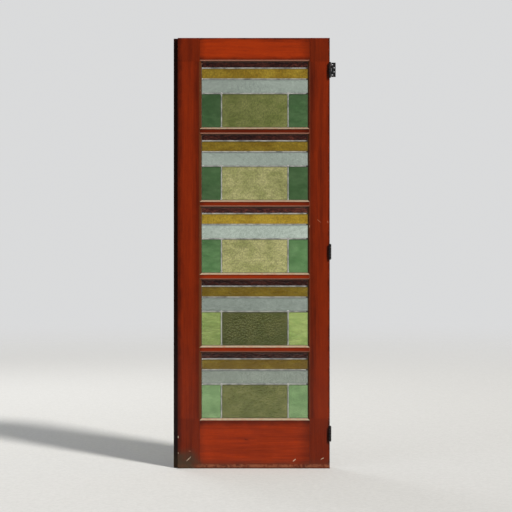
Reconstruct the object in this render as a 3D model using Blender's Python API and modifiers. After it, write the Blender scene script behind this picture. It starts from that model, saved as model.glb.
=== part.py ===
"""Stained glass front door: a framed timber door with five leaded lights on three butt hinges.

The door is set out from the front left corner of its face: x runs across the face, y goes back
through the thickness from its middle, z goes up from the foot. An empty then shifts the whole
door, so that the world origin lies on the middle hinge, at the centre of the face that is screwed
to the door frame.
"""

import math

import bmesh
import bpy
from mathutils import Matrix, Vector

# Overall sizes of the door, in metres
DOOR_HEIGHT = 2.100
DOOR_THICKNESS = 0.044
CLOSING_STILE = 0.107
HINGE_STILE = 0.097
OPENING_WIDTH = 0.5375
TOP_RAIL = 0.107
BOTTOM_RAIL = 0.235
BAR_FACE = 0.018
LIGHT_COUNT = 5

# Rebated meeting edge of the closing stile
MEETING_LIP = 0.021
MEETING_LIP_THICKNESS = 0.022

# Moulding around each light, and the rebate behind it that holds the glass
MOULDING_WIDTH = 0.0085
MOULDING_DEPTH = 0.011
SEAT_DEPTH = 0.013
REBATE_WIDTH = 0.0095
BEAD_DEPTH = 0.016
BEAD_CHAMFER = 0.005

# Leaded lights: the rows are measured between the middles of their leads, and the lowest row
# takes what the others leave
GLASS_THICKNESS = 0.003
CAME_FACE = 0.006
CAME_FLANGE = 0.001
CAME_HEART = 0.0015
BORDER_CAME_FACE = 0.010
PURPLE_ROW = 0.0303
AMBER_ROW = 0.0532
WHITE_ROW = 0.0703
GREEN_PANE = 0.0975

# Butt hinges, with their places on the hinge stile
HINGE_HEIGHT = 0.070
HINGE_REACH = 0.0275
HINGE_TOP_INSET = 0.157
HINGE_BOTTOM_INSET = 0.171
LEAF_THICKNESS = 0.0022
LEAF_SPACING = 0.0015
KNUCKLE_RADIUS = 0.0065
KNUCKLE_COUNT = 5
KNUCKLE_PLAY = 0.0005
PIN_RADIUS = 0.0032
PIN_TIP_RADIUS = 0.0052
PIN_TIP_HEIGHT = 0.0035
BARREL_STANDOFF = 0.0007
SCREW_RADIUS = 0.0022
SCREW_HEAD_RADIUS = 0.0042
SCREW_OUTER_ROW = 0.0125
SCREW_INNER_ROW = 0.0205
SCREW_OUTER_HEIGHT = 0.025
SCREW_INNER_HEIGHT = 0.010
TOP_LEAF_SWING = math.radians(90)

# Clearances, overshoot of the cutters and roundness
GAP = 0.0003
OVERSHOOT = 0.002
ROUND_SIDES = 24

# Worked out from the sizes above
FACE_WIDTH = CLOSING_STILE + OPENING_WIDTH + HINGE_STILE
LIGHT_HEIGHT = (
    DOOR_HEIGHT - TOP_RAIL - BOTTOM_RAIL - (LIGHT_COUNT - 1) * BAR_FACE
) / LIGHT_COUNT
LIGHT_LEFT = CLOSING_STILE
LIGHT_RIGHT = CLOSING_STILE + OPENING_WIDTH
LIGHT_MIDDLE = (LIGHT_LEFT + LIGHT_RIGHT) / 2
FRONT = -DOOR_THICKNESS / 2
BACK = DOOR_THICKNESS / 2
SIGHT_WIDTH = OPENING_WIDTH - 2 * MOULDING_WIDTH
SIGHT_HEIGHT = LIGHT_HEIGHT - 2 * MOULDING_WIDTH
REBATE_OPENING_WIDTH = SIGHT_WIDTH + 2 * REBATE_WIDTH
REBATE_OPENING_HEIGHT = SIGHT_HEIGHT + 2 * REBATE_WIDTH
PANEL_WIDTH = REBATE_OPENING_WIDTH - 2 * GAP
PANEL_HEIGHT = REBATE_OPENING_HEIGHT - 2 * GAP
POCKET_DEPTH = GLASS_THICKNESS + 2 * GAP
CAME_THICKNESS = POCKET_DEPTH + 2 * CAME_FLANGE
CAME_MIDDLE = FRONT + SEAT_DEPTH + GAP + CAME_THICKNESS / 2
BEAD_FRONT = CAME_MIDDLE + CAME_THICKNESS / 2 + GAP
AXIS_X = FACE_WIDTH + LEAF_SPACING / 2
AXIS_Y = FRONT - KNUCKLE_RADIUS - BARREL_STANDOFF
LEAF_OUTER_X = LEAF_SPACING / 2 + LEAF_THICKNESS
HINGE_Z = {
    "bottom": HINGE_BOTTOM_INSET,
    "middle": (HINGE_BOTTOM_INSET + DOOR_HEIGHT - HINGE_TOP_INSET) / 2,
    "top": DOOR_HEIGHT - HINGE_TOP_INSET,
}
ORIGIN = Vector((
    AXIS_X + LEAF_OUTER_X,
    AXIS_Y + (KNUCKLE_RADIUS + HINGE_REACH) / 2,
    HINGE_Z["middle"],
))

# Base colour, roughness, metallic and alpha of each finish
FINISHES = {
    "varnished_wood": ((0.22, 0.035, 0.012), 0.35, 0.0, 1.0),
    "glazing_bead": ((0.20, 0.032, 0.012), 0.45, 0.0, 1.0),
    "lead": ((0.30, 0.31, 0.32), 0.55, 1.0, 1.0),
    "dark_steel": ((0.03, 0.03, 0.032), 0.5, 1.0, 1.0),
    "purple_glass": ((0.10, 0.03, 0.06), 0.1, 0.0, 0.6),
    "amber_glass": ((0.45, 0.24, 0.05), 0.1, 0.0, 0.5),
    "white_glass": ((0.60, 0.66, 0.58), 0.2, 0.0, 0.6),
    "green_glass": ((0.12, 0.34, 0.10), 0.1, 0.0, 0.5),
    "olive_glass": ((0.36, 0.33, 0.12), 0.1, 0.0, 0.5),
}


def clear_scene():
    """Remove every object, so that the door starts in an empty scene."""
    for item in list(bpy.data.objects):
        bpy.data.objects.remove(item, do_unlink=True)


def new_collection(name):
    """Make a collection in the scene and return it."""
    collection = bpy.data.collections.new(name)
    bpy.context.scene.collection.children.link(collection)
    return collection


def make_material(name):
    """Make the Principled material of one finish."""
    colour, roughness, metallic, alpha = FINISHES[name]
    material = bpy.data.materials.new(name)
    material.use_nodes = True
    shader = material.node_tree.nodes["Principled BSDF"]
    shader.inputs["Base Color"].default_value = (*colour, 1.0)
    shader.inputs["Roughness"].default_value = roughness
    shader.inputs["Metallic"].default_value = metallic
    shader.inputs["Alpha"].default_value = alpha
    return material


def evaluated_mesh(source):
    """Return a new mesh of an object as its modifiers or its curve leave it."""
    depsgraph = bpy.context.evaluated_depsgraph_get()
    return bpy.data.meshes.new_from_object(source.evaluated_get(depsgraph))


def mesh_from(bm, name):
    """Turn a bmesh with its normals set outwards into a mesh."""
    bmesh.ops.recalc_face_normals(bm, faces=bm.faces)
    mesh = bpy.data.meshes.new(name)
    bm.to_mesh(mesh)
    bm.free()
    return mesh


def add_box(bm, low, high):
    """Add a box between two corners to a bmesh."""
    low, high = Vector(low), Vector(high)
    size = high - low
    place = Matrix.Translation((low + high) / 2) @ Matrix.Diagonal((*size, 1.0))
    bmesh.ops.create_cube(bm, size=1.0, matrix=place)


def boxes_mesh(name, corners):
    """Mesh of separate boxes, each given by its low and its high corner."""
    bm = bmesh.new()
    for low, high in corners:
        add_box(bm, low, high)
    return mesh_from(bm, name)


def extrude_cap(bm, face, ring, is_end):
    """Extrude the cap of a solid; return the new cap and its ring in the same order.

    The old cap stays where it is an end of the solid, and goes where it would be a wall inside.
    """
    extruded = bmesh.ops.extrude_face_region(bm, geom=[face])["geom"]
    cap = next(item for item in extruded if isinstance(item, bmesh.types.BMFace))
    fresh = [item for item in extruded if isinstance(item, bmesh.types.BMVert)]
    new_ring = [min(fresh, key=lambda v, old=old: (v.co - old.co).length) for old in ring]
    if not is_end:
        bmesh.ops.delete(bm, geom=[face], context="FACES_ONLY")
    return cap, new_ring


def add_stack(bm, centre, sections):
    """Loft a closed solid through upright rectangles, each (y, width, height), from front to back."""
    grid = bmesh.ops.create_grid(bm, x_segments=1, y_segments=1, size=0.5)
    verts = grid["verts"]
    signs = [(math.copysign(0.5, v.co.x), math.copysign(0.5, v.co.y)) for v in verts]
    face = verts[0].link_faces[0]

    def set_section(ring, section):
        y, width, height = section
        for vert, (side, level) in zip(ring, signs):
            vert.co = (centre.x + side * width, y, centre.z + level * height)

    set_section(verts, sections[0])
    ring = verts
    for number, section in enumerate(sections[1:]):
        face, ring = extrude_cap(bm, face, ring, is_end=number == 0)
        set_section(ring, section)


def outline_mesh(name, points, thickness):
    """Mesh of a flat outline in x and z, extruded evenly about y = 0."""
    curve = bpy.data.curves.new(name, "CURVE")
    curve.dimensions = "2D"
    curve.fill_mode = "BOTH"
    curve.extrude = thickness / 2
    spline = curve.splines.new("POLY")
    spline.points.add(len(points) - 1)
    for point, (x, z) in zip(spline.points, points):
        point.co = (x, z, 0.0, 1.0)
    spline.use_cyclic_u = True
    carrier = bpy.data.objects.new(name, curve)
    bpy.context.scene.collection.objects.link(carrier)
    mesh = evaluated_mesh(carrier)
    bpy.data.objects.remove(carrier, do_unlink=True)
    mesh.transform(Matrix.Rotation(math.radians(90), 4, "X"))
    bm = bmesh.new()
    bm.from_mesh(mesh)
    bmesh.ops.remove_doubles(bm, verts=bm.verts, dist=1e-5)
    return mesh_from(bm, name)


def add_cylinder(bm, radius, low, high, sides=ROUND_SIDES):
    """Add an upright cylinder on the z axis between two heights to a bmesh."""
    place = Matrix.Translation((0.0, 0.0, (low + high) / 2))
    bmesh.ops.create_cone(
        bm, cap_ends=True, segments=sides, radius1=radius, radius2=radius,
        depth=high - low, matrix=place,
    )


def smooth(mesh):
    """Shade the round faces of a mesh smooth and keep its corners crisp."""
    mesh.shade_smooth()
    mesh.set_sharp_from_angle(angle=math.radians(35))


class Workshop:
    """The collections, the materials and the empty that carries the whole door."""

    def __init__(self):
        self.parts = new_collection("stained_glass_door")
        self.cutters = new_collection("cutters")
        self.materials = {name: make_material(name) for name in FINISHES}
        self.carrier = bpy.data.objects.new("door_setting_out", None)
        self.carrier.location = -ORIGIN
        self.parts.objects.link(self.carrier)

    def part(self, name, mesh, finish, location=(0.0, 0.0, 0.0), turn=0.0, parent=None):
        """Add a named piece of the door, turned about its own upright axis."""
        if not mesh.materials:
            mesh.materials.append(self.materials[finish])
        item = bpy.data.objects.new(name, mesh)
        item.parent = parent or self.carrier
        item.location = location
        item.rotation_euler.z = turn
        self.parts.objects.link(item)
        return item

    def cutter(self, name, mesh):
        """Add a hidden cutter, set out like the door."""
        item = bpy.data.objects.new(name, mesh)
        item.parent = self.carrier
        item.hide_render = True
        item.display_type = "WIRE"
        self.cutters.objects.link(item)
        return item


def add_boolean(target, operand, operation="DIFFERENCE"):
    """Cut a piece with a cutter, or join it with one."""
    modifier = target.modifiers.new(operand.name, "BOOLEAN")
    modifier.operation = operation
    modifier.solver = "EXACT"
    modifier.object = operand


def combined_mesh(name, base, steps):
    """Apply (operation, mesh) steps to a base mesh and return the result."""
    scratch = bpy.context.scene.collection
    body = bpy.data.objects.new(name, base)
    scratch.objects.link(body)
    helpers = []
    for operation, mesh in steps:
        helper = bpy.data.objects.new(mesh.name, mesh)
        scratch.objects.link(helper)
        add_boolean(body, helper, operation)
        helpers.append(helper)
    result = evaluated_mesh(body)
    result.name = name
    for item in (body, *helpers):
        bpy.data.objects.remove(item, do_unlink=True)
    return result


def light_bottom(index):
    """Height of the lower arris of a light, where light 1 is the uppermost."""
    return BOTTOM_RAIL + (LIGHT_COUNT - index) * (LIGHT_HEIGHT + BAR_FACE)


def light_centre(index):
    """Middle of a light, in the plane y = 0."""
    return Vector((LIGHT_MIDDLE, 0.0, light_bottom(index) + LIGHT_HEIGHT / 2))


def openings_mesh():
    """Cutters for all lights: a splayed moulding, a sight opening and a rebate behind."""
    flare = OVERSHOOT * MOULDING_WIDTH / MOULDING_DEPTH
    splay_width = OPENING_WIDTH + 2 * flare
    splay_height = LIGHT_HEIGHT + 2 * flare
    seat = FRONT + SEAT_DEPTH
    sections = [
        (FRONT - OVERSHOOT, splay_width, splay_height),
        (FRONT + MOULDING_DEPTH, SIGHT_WIDTH, SIGHT_HEIGHT),
        (seat, SIGHT_WIDTH, SIGHT_HEIGHT),
        (seat, REBATE_OPENING_WIDTH, REBATE_OPENING_HEIGHT),
        (BACK + OVERSHOOT, REBATE_OPENING_WIDTH, REBATE_OPENING_HEIGHT),
    ]
    bm = bmesh.new()
    for index in range(1, LIGHT_COUNT + 1):
        add_stack(bm, light_centre(index), sections)
    return mesh_from(bm, "light_openings")


def stile_points(outer, inner):
    """Outline of a stile, with a mitred tongue of moulding beside each light."""
    reach = math.copysign(MOULDING_WIDTH + OVERSHOOT, inner - outer)
    points = [(outer, 0.0), (inner, 0.0)]
    for index in range(LIGHT_COUNT, 0, -1):
        low = light_bottom(index)
        high = low + LIGHT_HEIGHT
        points.append((inner, low))
        points.append((inner + reach, low + abs(reach)))
        points.append((inner + reach, high - abs(reach)))
        points.append((inner, high))
    points.append((inner, DOOR_HEIGHT))
    points.append((outer, DOOR_HEIGHT))
    return points


def rail_points(low, high, light_below, light_above):
    """Outline of a rail between the stiles, mitred to them beside each light that it borders."""
    reach = MOULDING_WIDTH + OVERSHOOT
    slip = GAP * math.sqrt(2)
    left, right = LIGHT_LEFT + GAP, LIGHT_RIGHT - GAP
    start_left, start_right = LIGHT_LEFT + slip, LIGHT_RIGHT - slip
    corner = slip - GAP
    if light_below:
        lower = [
            (left, low + corner),
            (start_left + reach, low - reach),
            (start_right - reach, low - reach),
            (right, low + corner),
        ]
    else:
        lower = [(left, low), (right, low)]
    if light_above:
        upper = [
            (right, high - corner),
            (start_right - reach, high + reach),
            (start_left + reach, high + reach),
            (left, high - corner),
        ]
    else:
        upper = [(right, high), (left, high)]
    return lower + upper


def build_woodwork(shop):
    """Stiles, rails and glazing bars, cut by the same openings."""
    openings = shop.cutter("light_openings", openings_mesh())

    closing = shop.part(
        "stile_closing",
        outline_mesh("stile_closing", stile_points(-MEETING_LIP, LIGHT_LEFT), DOOR_THICKNESS),
        "varnished_wood",
    )
    lip_cut = boxes_mesh("meeting_rebate", [(
        (-MEETING_LIP - OVERSHOOT, FRONT - OVERSHOOT, -OVERSHOOT),
        (0.0, BACK - MEETING_LIP_THICKNESS, DOOR_HEIGHT + OVERSHOOT),
    )])
    add_boolean(closing, shop.cutter("meeting_rebate", lip_cut))

    hinged = shop.part(
        "stile_hinge",
        outline_mesh("stile_hinge", stile_points(FACE_WIDTH, LIGHT_RIGHT), DOOR_THICKNESS),
        "varnished_wood",
    )
    gains = boxes_mesh("hinge_gains", [
        (
            (FACE_WIDTH - LEAF_THICKNESS - GAP, FRONT - OVERSHOOT, height - HINGE_HEIGHT / 2 - GAP),
            (FACE_WIDTH + OVERSHOOT, AXIS_Y + HINGE_REACH + GAP, height + HINGE_HEIGHT / 2 + GAP),
        )
        for height in HINGE_Z.values()
    ])
    add_boolean(hinged, shop.cutter("hinge_gains", gains))

    members = [closing, hinged]
    bottom = outline_mesh(
        "rail_bottom", rail_points(0.0, BOTTOM_RAIL, False, True), DOOR_THICKNESS)
    members.append(shop.part("rail_bottom", bottom, "varnished_wood"))
    top = outline_mesh(
        "rail_top", rail_points(DOOR_HEIGHT - TOP_RAIL, DOOR_HEIGHT, True, False), DOOR_THICKNESS)
    members.append(shop.part("rail_top", top, "varnished_wood"))
    for index in range(1, LIGHT_COUNT):
        low = light_bottom(index) - BAR_FACE
        name = f"glazing_bar_{index}"
        mesh = outline_mesh(name, rail_points(low, low + BAR_FACE, True, True), DOOR_THICKNESS)
        members.append(shop.part(name, mesh, "varnished_wood"))
    for member in members:
        add_boolean(member, openings)


def light_cells():
    """Sight openings between the leads of one light: name to (left, right, bottom, top)."""
    half = CAME_FACE / 2
    edge = BORDER_CAME_FACE - (PANEL_WIDTH - SIGHT_WIDTH) / 2
    left, right = -SIGHT_WIDTH / 2 + edge, SIGHT_WIDTH / 2 - edge
    bottom, top = -SIGHT_HEIGHT / 2 + edge, SIGHT_HEIGHT / 2 - edge
    upper_lead = SIGHT_HEIGHT / 2 - PURPLE_ROW
    middle_lead = upper_lead - AMBER_ROW
    lower_lead = middle_lead - WHITE_ROW
    left_lead = -SIGHT_WIDTH / 2 + GREEN_PANE
    right_lead = SIGHT_WIDTH / 2 - GREEN_PANE
    return {
        "purple": (left, right, upper_lead + half, top),
        "amber": (left, right, middle_lead + half, upper_lead - half),
        "white": (left, right, lower_lead + half, middle_lead - half),
        "green_left": (left, left_lead - half, bottom, lower_lead - half),
        "centre": (left_lead + half, right_lead - half, bottom, lower_lead - half),
        "green_right": (right_lead + half, right, bottom, lower_lead - half),
    }


def cell_box(cell, grow, depth):
    """Corners of a box over a cell, grown all round in the plane of the light."""
    left, right, bottom, top = cell
    return (
        (left - grow, -depth / 2, bottom - grow),
        (right + grow, depth / 2, top + grow),
    )


def came_mesh():
    """Lead lattice of one light: a slab with sight openings and grooves for the panes."""
    cells = light_cells().values()
    slab = boxes_mesh("came_slab", [(
        (-PANEL_WIDTH / 2, -CAME_THICKNESS / 2, -PANEL_HEIGHT / 2),
        (PANEL_WIDTH / 2, CAME_THICKNESS / 2, PANEL_HEIGHT / 2),
    )])
    groove = (CAME_FACE - CAME_HEART) / 2
    through = CAME_THICKNESS + 2 * OVERSHOOT
    windows = boxes_mesh("came_windows", [cell_box(cell, 0.0, through) for cell in cells])
    grooves = boxes_mesh("came_grooves", [cell_box(cell, groove, POCKET_DEPTH) for cell in cells])
    return combined_mesh("came", slab, [("DIFFERENCE", windows), ("DIFFERENCE", grooves)])


def bead_mesh():
    """Glazing beads of one light, mitred and chamfered towards the room."""
    back = BEAD_FRONT + BEAD_DEPTH
    width = REBATE_OPENING_WIDTH - 2 * GAP
    height = REBATE_OPENING_HEIGHT - 2 * GAP
    centre = Vector((0.0, 0.0, 0.0))
    body = bmesh.new()
    add_stack(body, centre, [(BEAD_FRONT, width, height), (back, width, height)])
    flare = 2 * (BEAD_CHAMFER + OVERSHOOT)
    opening = bmesh.new()
    add_stack(opening, centre, [
        (BEAD_FRONT - OVERSHOOT, SIGHT_WIDTH, SIGHT_HEIGHT),
        (back - BEAD_CHAMFER, SIGHT_WIDTH, SIGHT_HEIGHT),
        (back + OVERSHOOT, SIGHT_WIDTH + flare, SIGHT_HEIGHT + flare),
    ])
    return combined_mesh(
        "bead", mesh_from(body, "bead_body"), [("DIFFERENCE", mesh_from(opening, "bead_opening"))])


def build_lights(shop):
    """Panes, lead lattice and glazing beads of every light."""
    finishes = {
        "purple": "purple_glass",
        "amber": "amber_glass",
        "white": "white_glass",
        "green_left": "green_glass",
        "centre": "olive_glass",
        "green_right": "green_glass",
    }
    bite = (CAME_FACE - CAME_HEART) / 2 - GAP
    panes = {
        name: boxes_mesh(f"pane_{name}", [cell_box(cell, bite, GLASS_THICKNESS)])
        for name, cell in light_cells().items()
    }
    came = came_mesh()
    bead = bead_mesh()
    for index in range(1, LIGHT_COUNT + 1):
        centre = light_centre(index)
        in_lead = centre + Vector((0.0, CAME_MIDDLE, 0.0))
        shop.part(f"came_{index}", came, "lead", in_lead)
        shop.part(f"bead_{index}", bead, "glazing_bead", centre)
        for name, mesh in panes.items():
            shop.part(f"glass_{index}_{name}", mesh, finishes[name], in_lead)


def knuckle_bands(keep_even):
    """Height ranges of the knuckles that one leaf gives up to the other, with their play."""
    pitch = HINGE_HEIGHT / KNUCKLE_COUNT
    bands = []
    for index in range(KNUCKLE_COUNT):
        if (index % 2 == 0) == keep_even:
            continue
        low = index * pitch - HINGE_HEIGHT / 2
        bands.append((
            low - (OVERSHOOT if index == 0 else KNUCKLE_PLAY / 2),
            low + pitch + (OVERSHOOT if index == KNUCKLE_COUNT - 1 else KNUCKLE_PLAY / 2),
        ))
    return bands


def screw_cutters(side):
    """Countersunk screw holes of a leaf; the heads sink into the face towards the other leaf."""
    inner_face = side * LEAF_SPACING / 2
    outer_face = side * LEAF_OUTER_X
    sink = SCREW_HEAD_RADIUS - SCREW_RADIUS
    turn = Matrix.Rotation(math.radians(90) * side, 4, "Y")
    bm = bmesh.new()
    places = [(SCREW_OUTER_ROW, SCREW_OUTER_HEIGHT), (SCREW_INNER_ROW, SCREW_INNER_HEIGHT)]
    for reach, height in places:
        for level in (-height, height):
            sections = [
                (inner_face - side * OVERSHOOT, SCREW_HEAD_RADIUS + OVERSHOOT),
                (inner_face + side * sink, SCREW_RADIUS),
                (outer_face + side * OVERSHOOT, SCREW_RADIUS),
            ]
            add_turned(bm, sections, turn, Vector((0.0, reach, level)))
    return mesh_from(bm, "screw_holes")


def add_turned(bm, sections, turn, place):
    """Add a round solid whose (distance, radius) sections lie along x, at a place in y and z."""
    ring = bmesh.ops.create_circle(
        bm, cap_ends=True, segments=ROUND_SIDES // 2, radius=1.0, matrix=turn)["verts"]
    spokes = [vert.co.normalized() for vert in ring]
    face = ring[0].link_faces[0]
    for number, (distance, radius) in enumerate(sections):
        if number:
            face, ring = extrude_cap(bm, face, ring, is_end=number == 1)
        for vert, spoke in zip(ring, spokes):
            vert.co = place + spoke * radius + Vector((distance, 0.0, 0.0))


def leaf_mesh(side):
    """One leaf, closed: its plate runs along +y and lies on one side of the pin's axis.

    Side -1 is the leaf let into the door, which has the outer knuckles; side 1 is the free leaf.
    """
    half = HINGE_HEIGHT / 2
    plate_x = sorted((side * LEAF_SPACING / 2, side * LEAF_OUTER_X))
    name = "door_leaf" if side < 0 else "free_leaf"
    barrel = bmesh.new()
    add_cylinder(barrel, KNUCKLE_RADIUS, -half, half)
    plate = boxes_mesh("plate", [((plate_x[0], 0.0, -half), (plate_x[1], HINGE_REACH, half))])
    clear = KNUCKLE_RADIUS + KNUCKLE_PLAY
    slots = boxes_mesh("slots", [
        ((-clear, -clear, low), (clear, clear, high))
        for low, high in knuckle_bands(keep_even=side < 0)
    ])
    bore = bmesh.new()
    add_cylinder(bore, PIN_RADIUS + GAP, -half - OVERSHOOT, half + OVERSHOOT)
    mesh = combined_mesh(name, mesh_from(barrel, "barrel"), [
        ("UNION", plate),
        ("DIFFERENCE", mesh_from(bore, "bore")),
        ("DIFFERENCE", slots),
        ("DIFFERENCE", screw_cutters(side)),
    ])
    smooth(mesh)
    return mesh


def pin_mesh():
    """Hinge pin with a button tip at each end, turned about its own axis."""
    end = HINGE_HEIGHT / 2 + GAP
    crown = end + PIN_TIP_HEIGHT
    dome = PIN_TIP_HEIGHT / 2
    upper = [
        (0.0, crown),
        (PIN_TIP_RADIUS * 0.6, crown - dome * 0.25),
        (PIN_TIP_RADIUS, end + dome),
        (PIN_TIP_RADIUS, end),
        (PIN_RADIUS, end),
    ]
    profile = upper + [(radius, -height) for radius, height in reversed(upper)]
    bm = bmesh.new()
    verts = [bm.verts.new((radius, 0.0, height)) for radius, height in profile]
    for first, second in zip(verts, verts[1:]):
        bm.edges.new((first, second))
    mesh = bpy.data.meshes.new("pin_profile")
    bm.to_mesh(mesh)
    bm.free()
    turned = bpy.data.objects.new("pin_profile", mesh)
    bpy.context.scene.collection.objects.link(turned)
    screw = turned.modifiers.new("turn", "SCREW")
    screw.axis = "Z"
    screw.steps = ROUND_SIDES
    screw.render_steps = ROUND_SIDES
    screw.use_merge_vertices = True
    screw.merge_threshold = 0.00001
    result = evaluated_mesh(turned)
    bpy.data.objects.remove(turned, do_unlink=True)
    result.name = "pin"
    smooth(result)
    return result


def build_hinges(shop):
    """Three butt hinges; the top one's free leaf is swung out, as the door was left."""
    door_leaf = leaf_mesh(-1)
    free_leaf = leaf_mesh(1)
    pin = pin_mesh()
    swings = {"top": TOP_LEAF_SWING}
    for name, height in HINGE_Z.items():
        axis = bpy.data.objects.new(f"hinge_{name}_axis", None)
        axis.parent = shop.carrier
        axis.location = (AXIS_X, AXIS_Y, height)
        shop.parts.objects.link(axis)
        shop.part(f"hinge_{name}_door_leaf", door_leaf, "dark_steel", parent=axis)
        shop.part(f"hinge_{name}_pin", pin, "dark_steel", parent=axis)
        shop.part(
            f"hinge_{name}_free_leaf", free_leaf, "dark_steel",
            turn=-swings.get(name, 0.0), parent=axis)


def main():
    """Build the door."""
    clear_scene()
    shop = Workshop()
    build_woodwork(shop)
    build_lights(shop)
    build_hinges(shop)


main()
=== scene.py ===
"""Looks of the stained glass front door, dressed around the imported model.

The door is an old framed door of reddish varnished hardwood with five leaded lights, hung on three
butt hinges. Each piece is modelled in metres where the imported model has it: x runs across the face,
y goes back through the thickness and z goes up. The finishes are worked out from those same
coordinates, so every pattern stays put on its piece.
"""

import logging
import math
from dataclasses import dataclass
from enum import Enum
from typing import Iterable

import bmesh
import bpy
from mathutils import Matrix, Vector, noise


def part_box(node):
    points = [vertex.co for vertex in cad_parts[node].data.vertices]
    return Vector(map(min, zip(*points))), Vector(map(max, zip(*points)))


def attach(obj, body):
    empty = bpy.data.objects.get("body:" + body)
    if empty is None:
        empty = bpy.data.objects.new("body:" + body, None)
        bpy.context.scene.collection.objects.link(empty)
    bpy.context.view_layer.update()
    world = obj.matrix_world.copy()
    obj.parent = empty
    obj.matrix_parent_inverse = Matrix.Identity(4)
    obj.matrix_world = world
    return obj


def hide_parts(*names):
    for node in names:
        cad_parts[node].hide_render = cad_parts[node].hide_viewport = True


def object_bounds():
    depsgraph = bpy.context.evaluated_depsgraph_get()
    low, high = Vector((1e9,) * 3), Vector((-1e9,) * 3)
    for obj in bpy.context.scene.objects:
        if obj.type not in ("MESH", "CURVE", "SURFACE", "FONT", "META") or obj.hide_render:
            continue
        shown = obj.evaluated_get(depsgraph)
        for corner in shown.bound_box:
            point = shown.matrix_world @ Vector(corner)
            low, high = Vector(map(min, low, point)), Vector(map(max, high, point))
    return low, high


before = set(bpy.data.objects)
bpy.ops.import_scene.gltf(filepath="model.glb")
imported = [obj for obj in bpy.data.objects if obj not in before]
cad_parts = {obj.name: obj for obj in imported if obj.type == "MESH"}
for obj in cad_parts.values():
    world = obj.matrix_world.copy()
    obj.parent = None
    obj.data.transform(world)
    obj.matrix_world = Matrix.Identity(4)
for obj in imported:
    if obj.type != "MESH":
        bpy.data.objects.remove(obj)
PACKED_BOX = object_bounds()

LOG = logging.getLogger("door")

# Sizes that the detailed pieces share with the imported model, in metres
MOULDING_WIDTH = 0.0085
MOULDING_DEPTH = 0.011
SEAT_DEPTH = 0.013
REBATE_WIDTH = 0.0095
BEAD_CHAMFER = 0.005
CAME_FACE = 0.006
CAME_HEART = 0.0015
MEETING_LIP = 0.021
HINGE_HEIGHT = 0.070
HINGE_REACH = 0.0275
LEAF_THICKNESS = 0.0022
LEAF_SPACING = 0.0015
KNUCKLE_RADIUS = 0.0065
KNUCKLE_COUNT = 5
KNUCKLE_PLAY = 0.0005
PIN_RADIUS = 0.0032
PIN_TIP_RADIUS = 0.0052
SCREW_RADIUS = 0.0022
SCREW_HEAD_RADIUS = 0.0042
SCREW_PLACES = ((0.0125, 0.025), (0.0205, 0.010))
TOP_LEAF_SWING = math.radians(90)
GAP = 0.0003
OVERSHOOT = 0.002
LIGHT_COUNT = 5

# Tolerance of cuts and an edge so far away that it never shades, in metres
CUT_TOLERANCE = 1e-6
FAR = 9.0

# Where the photograph has the door's left arris and foot, its scale and its size in pixels
PHOTO_LEFT_ARRIS = 177.7
PHOTO_FOOT = 468.5
PHOTO_SCALE = 0.004877
PHOTO_SIZE = 512

# Faces of the woodwork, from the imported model
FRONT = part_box("rail_top")[0].y
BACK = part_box("rail_top")[1].y
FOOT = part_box("stile_closing")[0].z
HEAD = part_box("stile_closing")[1].z
LEFT_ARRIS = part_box("stile_closing")[0].x + MEETING_LIP
LIGHT_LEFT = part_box("came_1")[0].x - GAP + REBATE_WIDTH - MOULDING_WIDTH
LIGHT_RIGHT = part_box("came_1")[1].x + GAP - REBATE_WIDTH + MOULDING_WIDTH

# The row of lights: its middle and half width, the glass's right edge, and the rails' inner edges
LIGHT_MIDDLE = (LIGHT_LEFT + LIGHT_RIGHT) / 2
LIGHT_HALF = (LIGHT_RIGHT - LIGHT_LEFT) / 2
SIGHT_RIGHT = LIGHT_RIGHT - MOULDING_WIDTH
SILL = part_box("rail_bottom")[1].z
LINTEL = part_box("rail_top")[0].z

Triple = tuple[float, float, float]
Colour = Triple
Point = tuple[float, float]

# Colours of the painted lead shadow, bare wood, rubbed varnish, and black for dirt and painted shadows
LEAD_SHADOW_DARK: Colour = (0.016, 0.0130, 0.0110)
BARE_WOOD: Colour = (0.62, 0.50, 0.36)
RUBBED_VARNISH: Colour = (0.40, 0.17, 0.10)
BLACK_DIRT_AND_SHADOW: Colour = (0.012, 0.005, 0.003)


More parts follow.
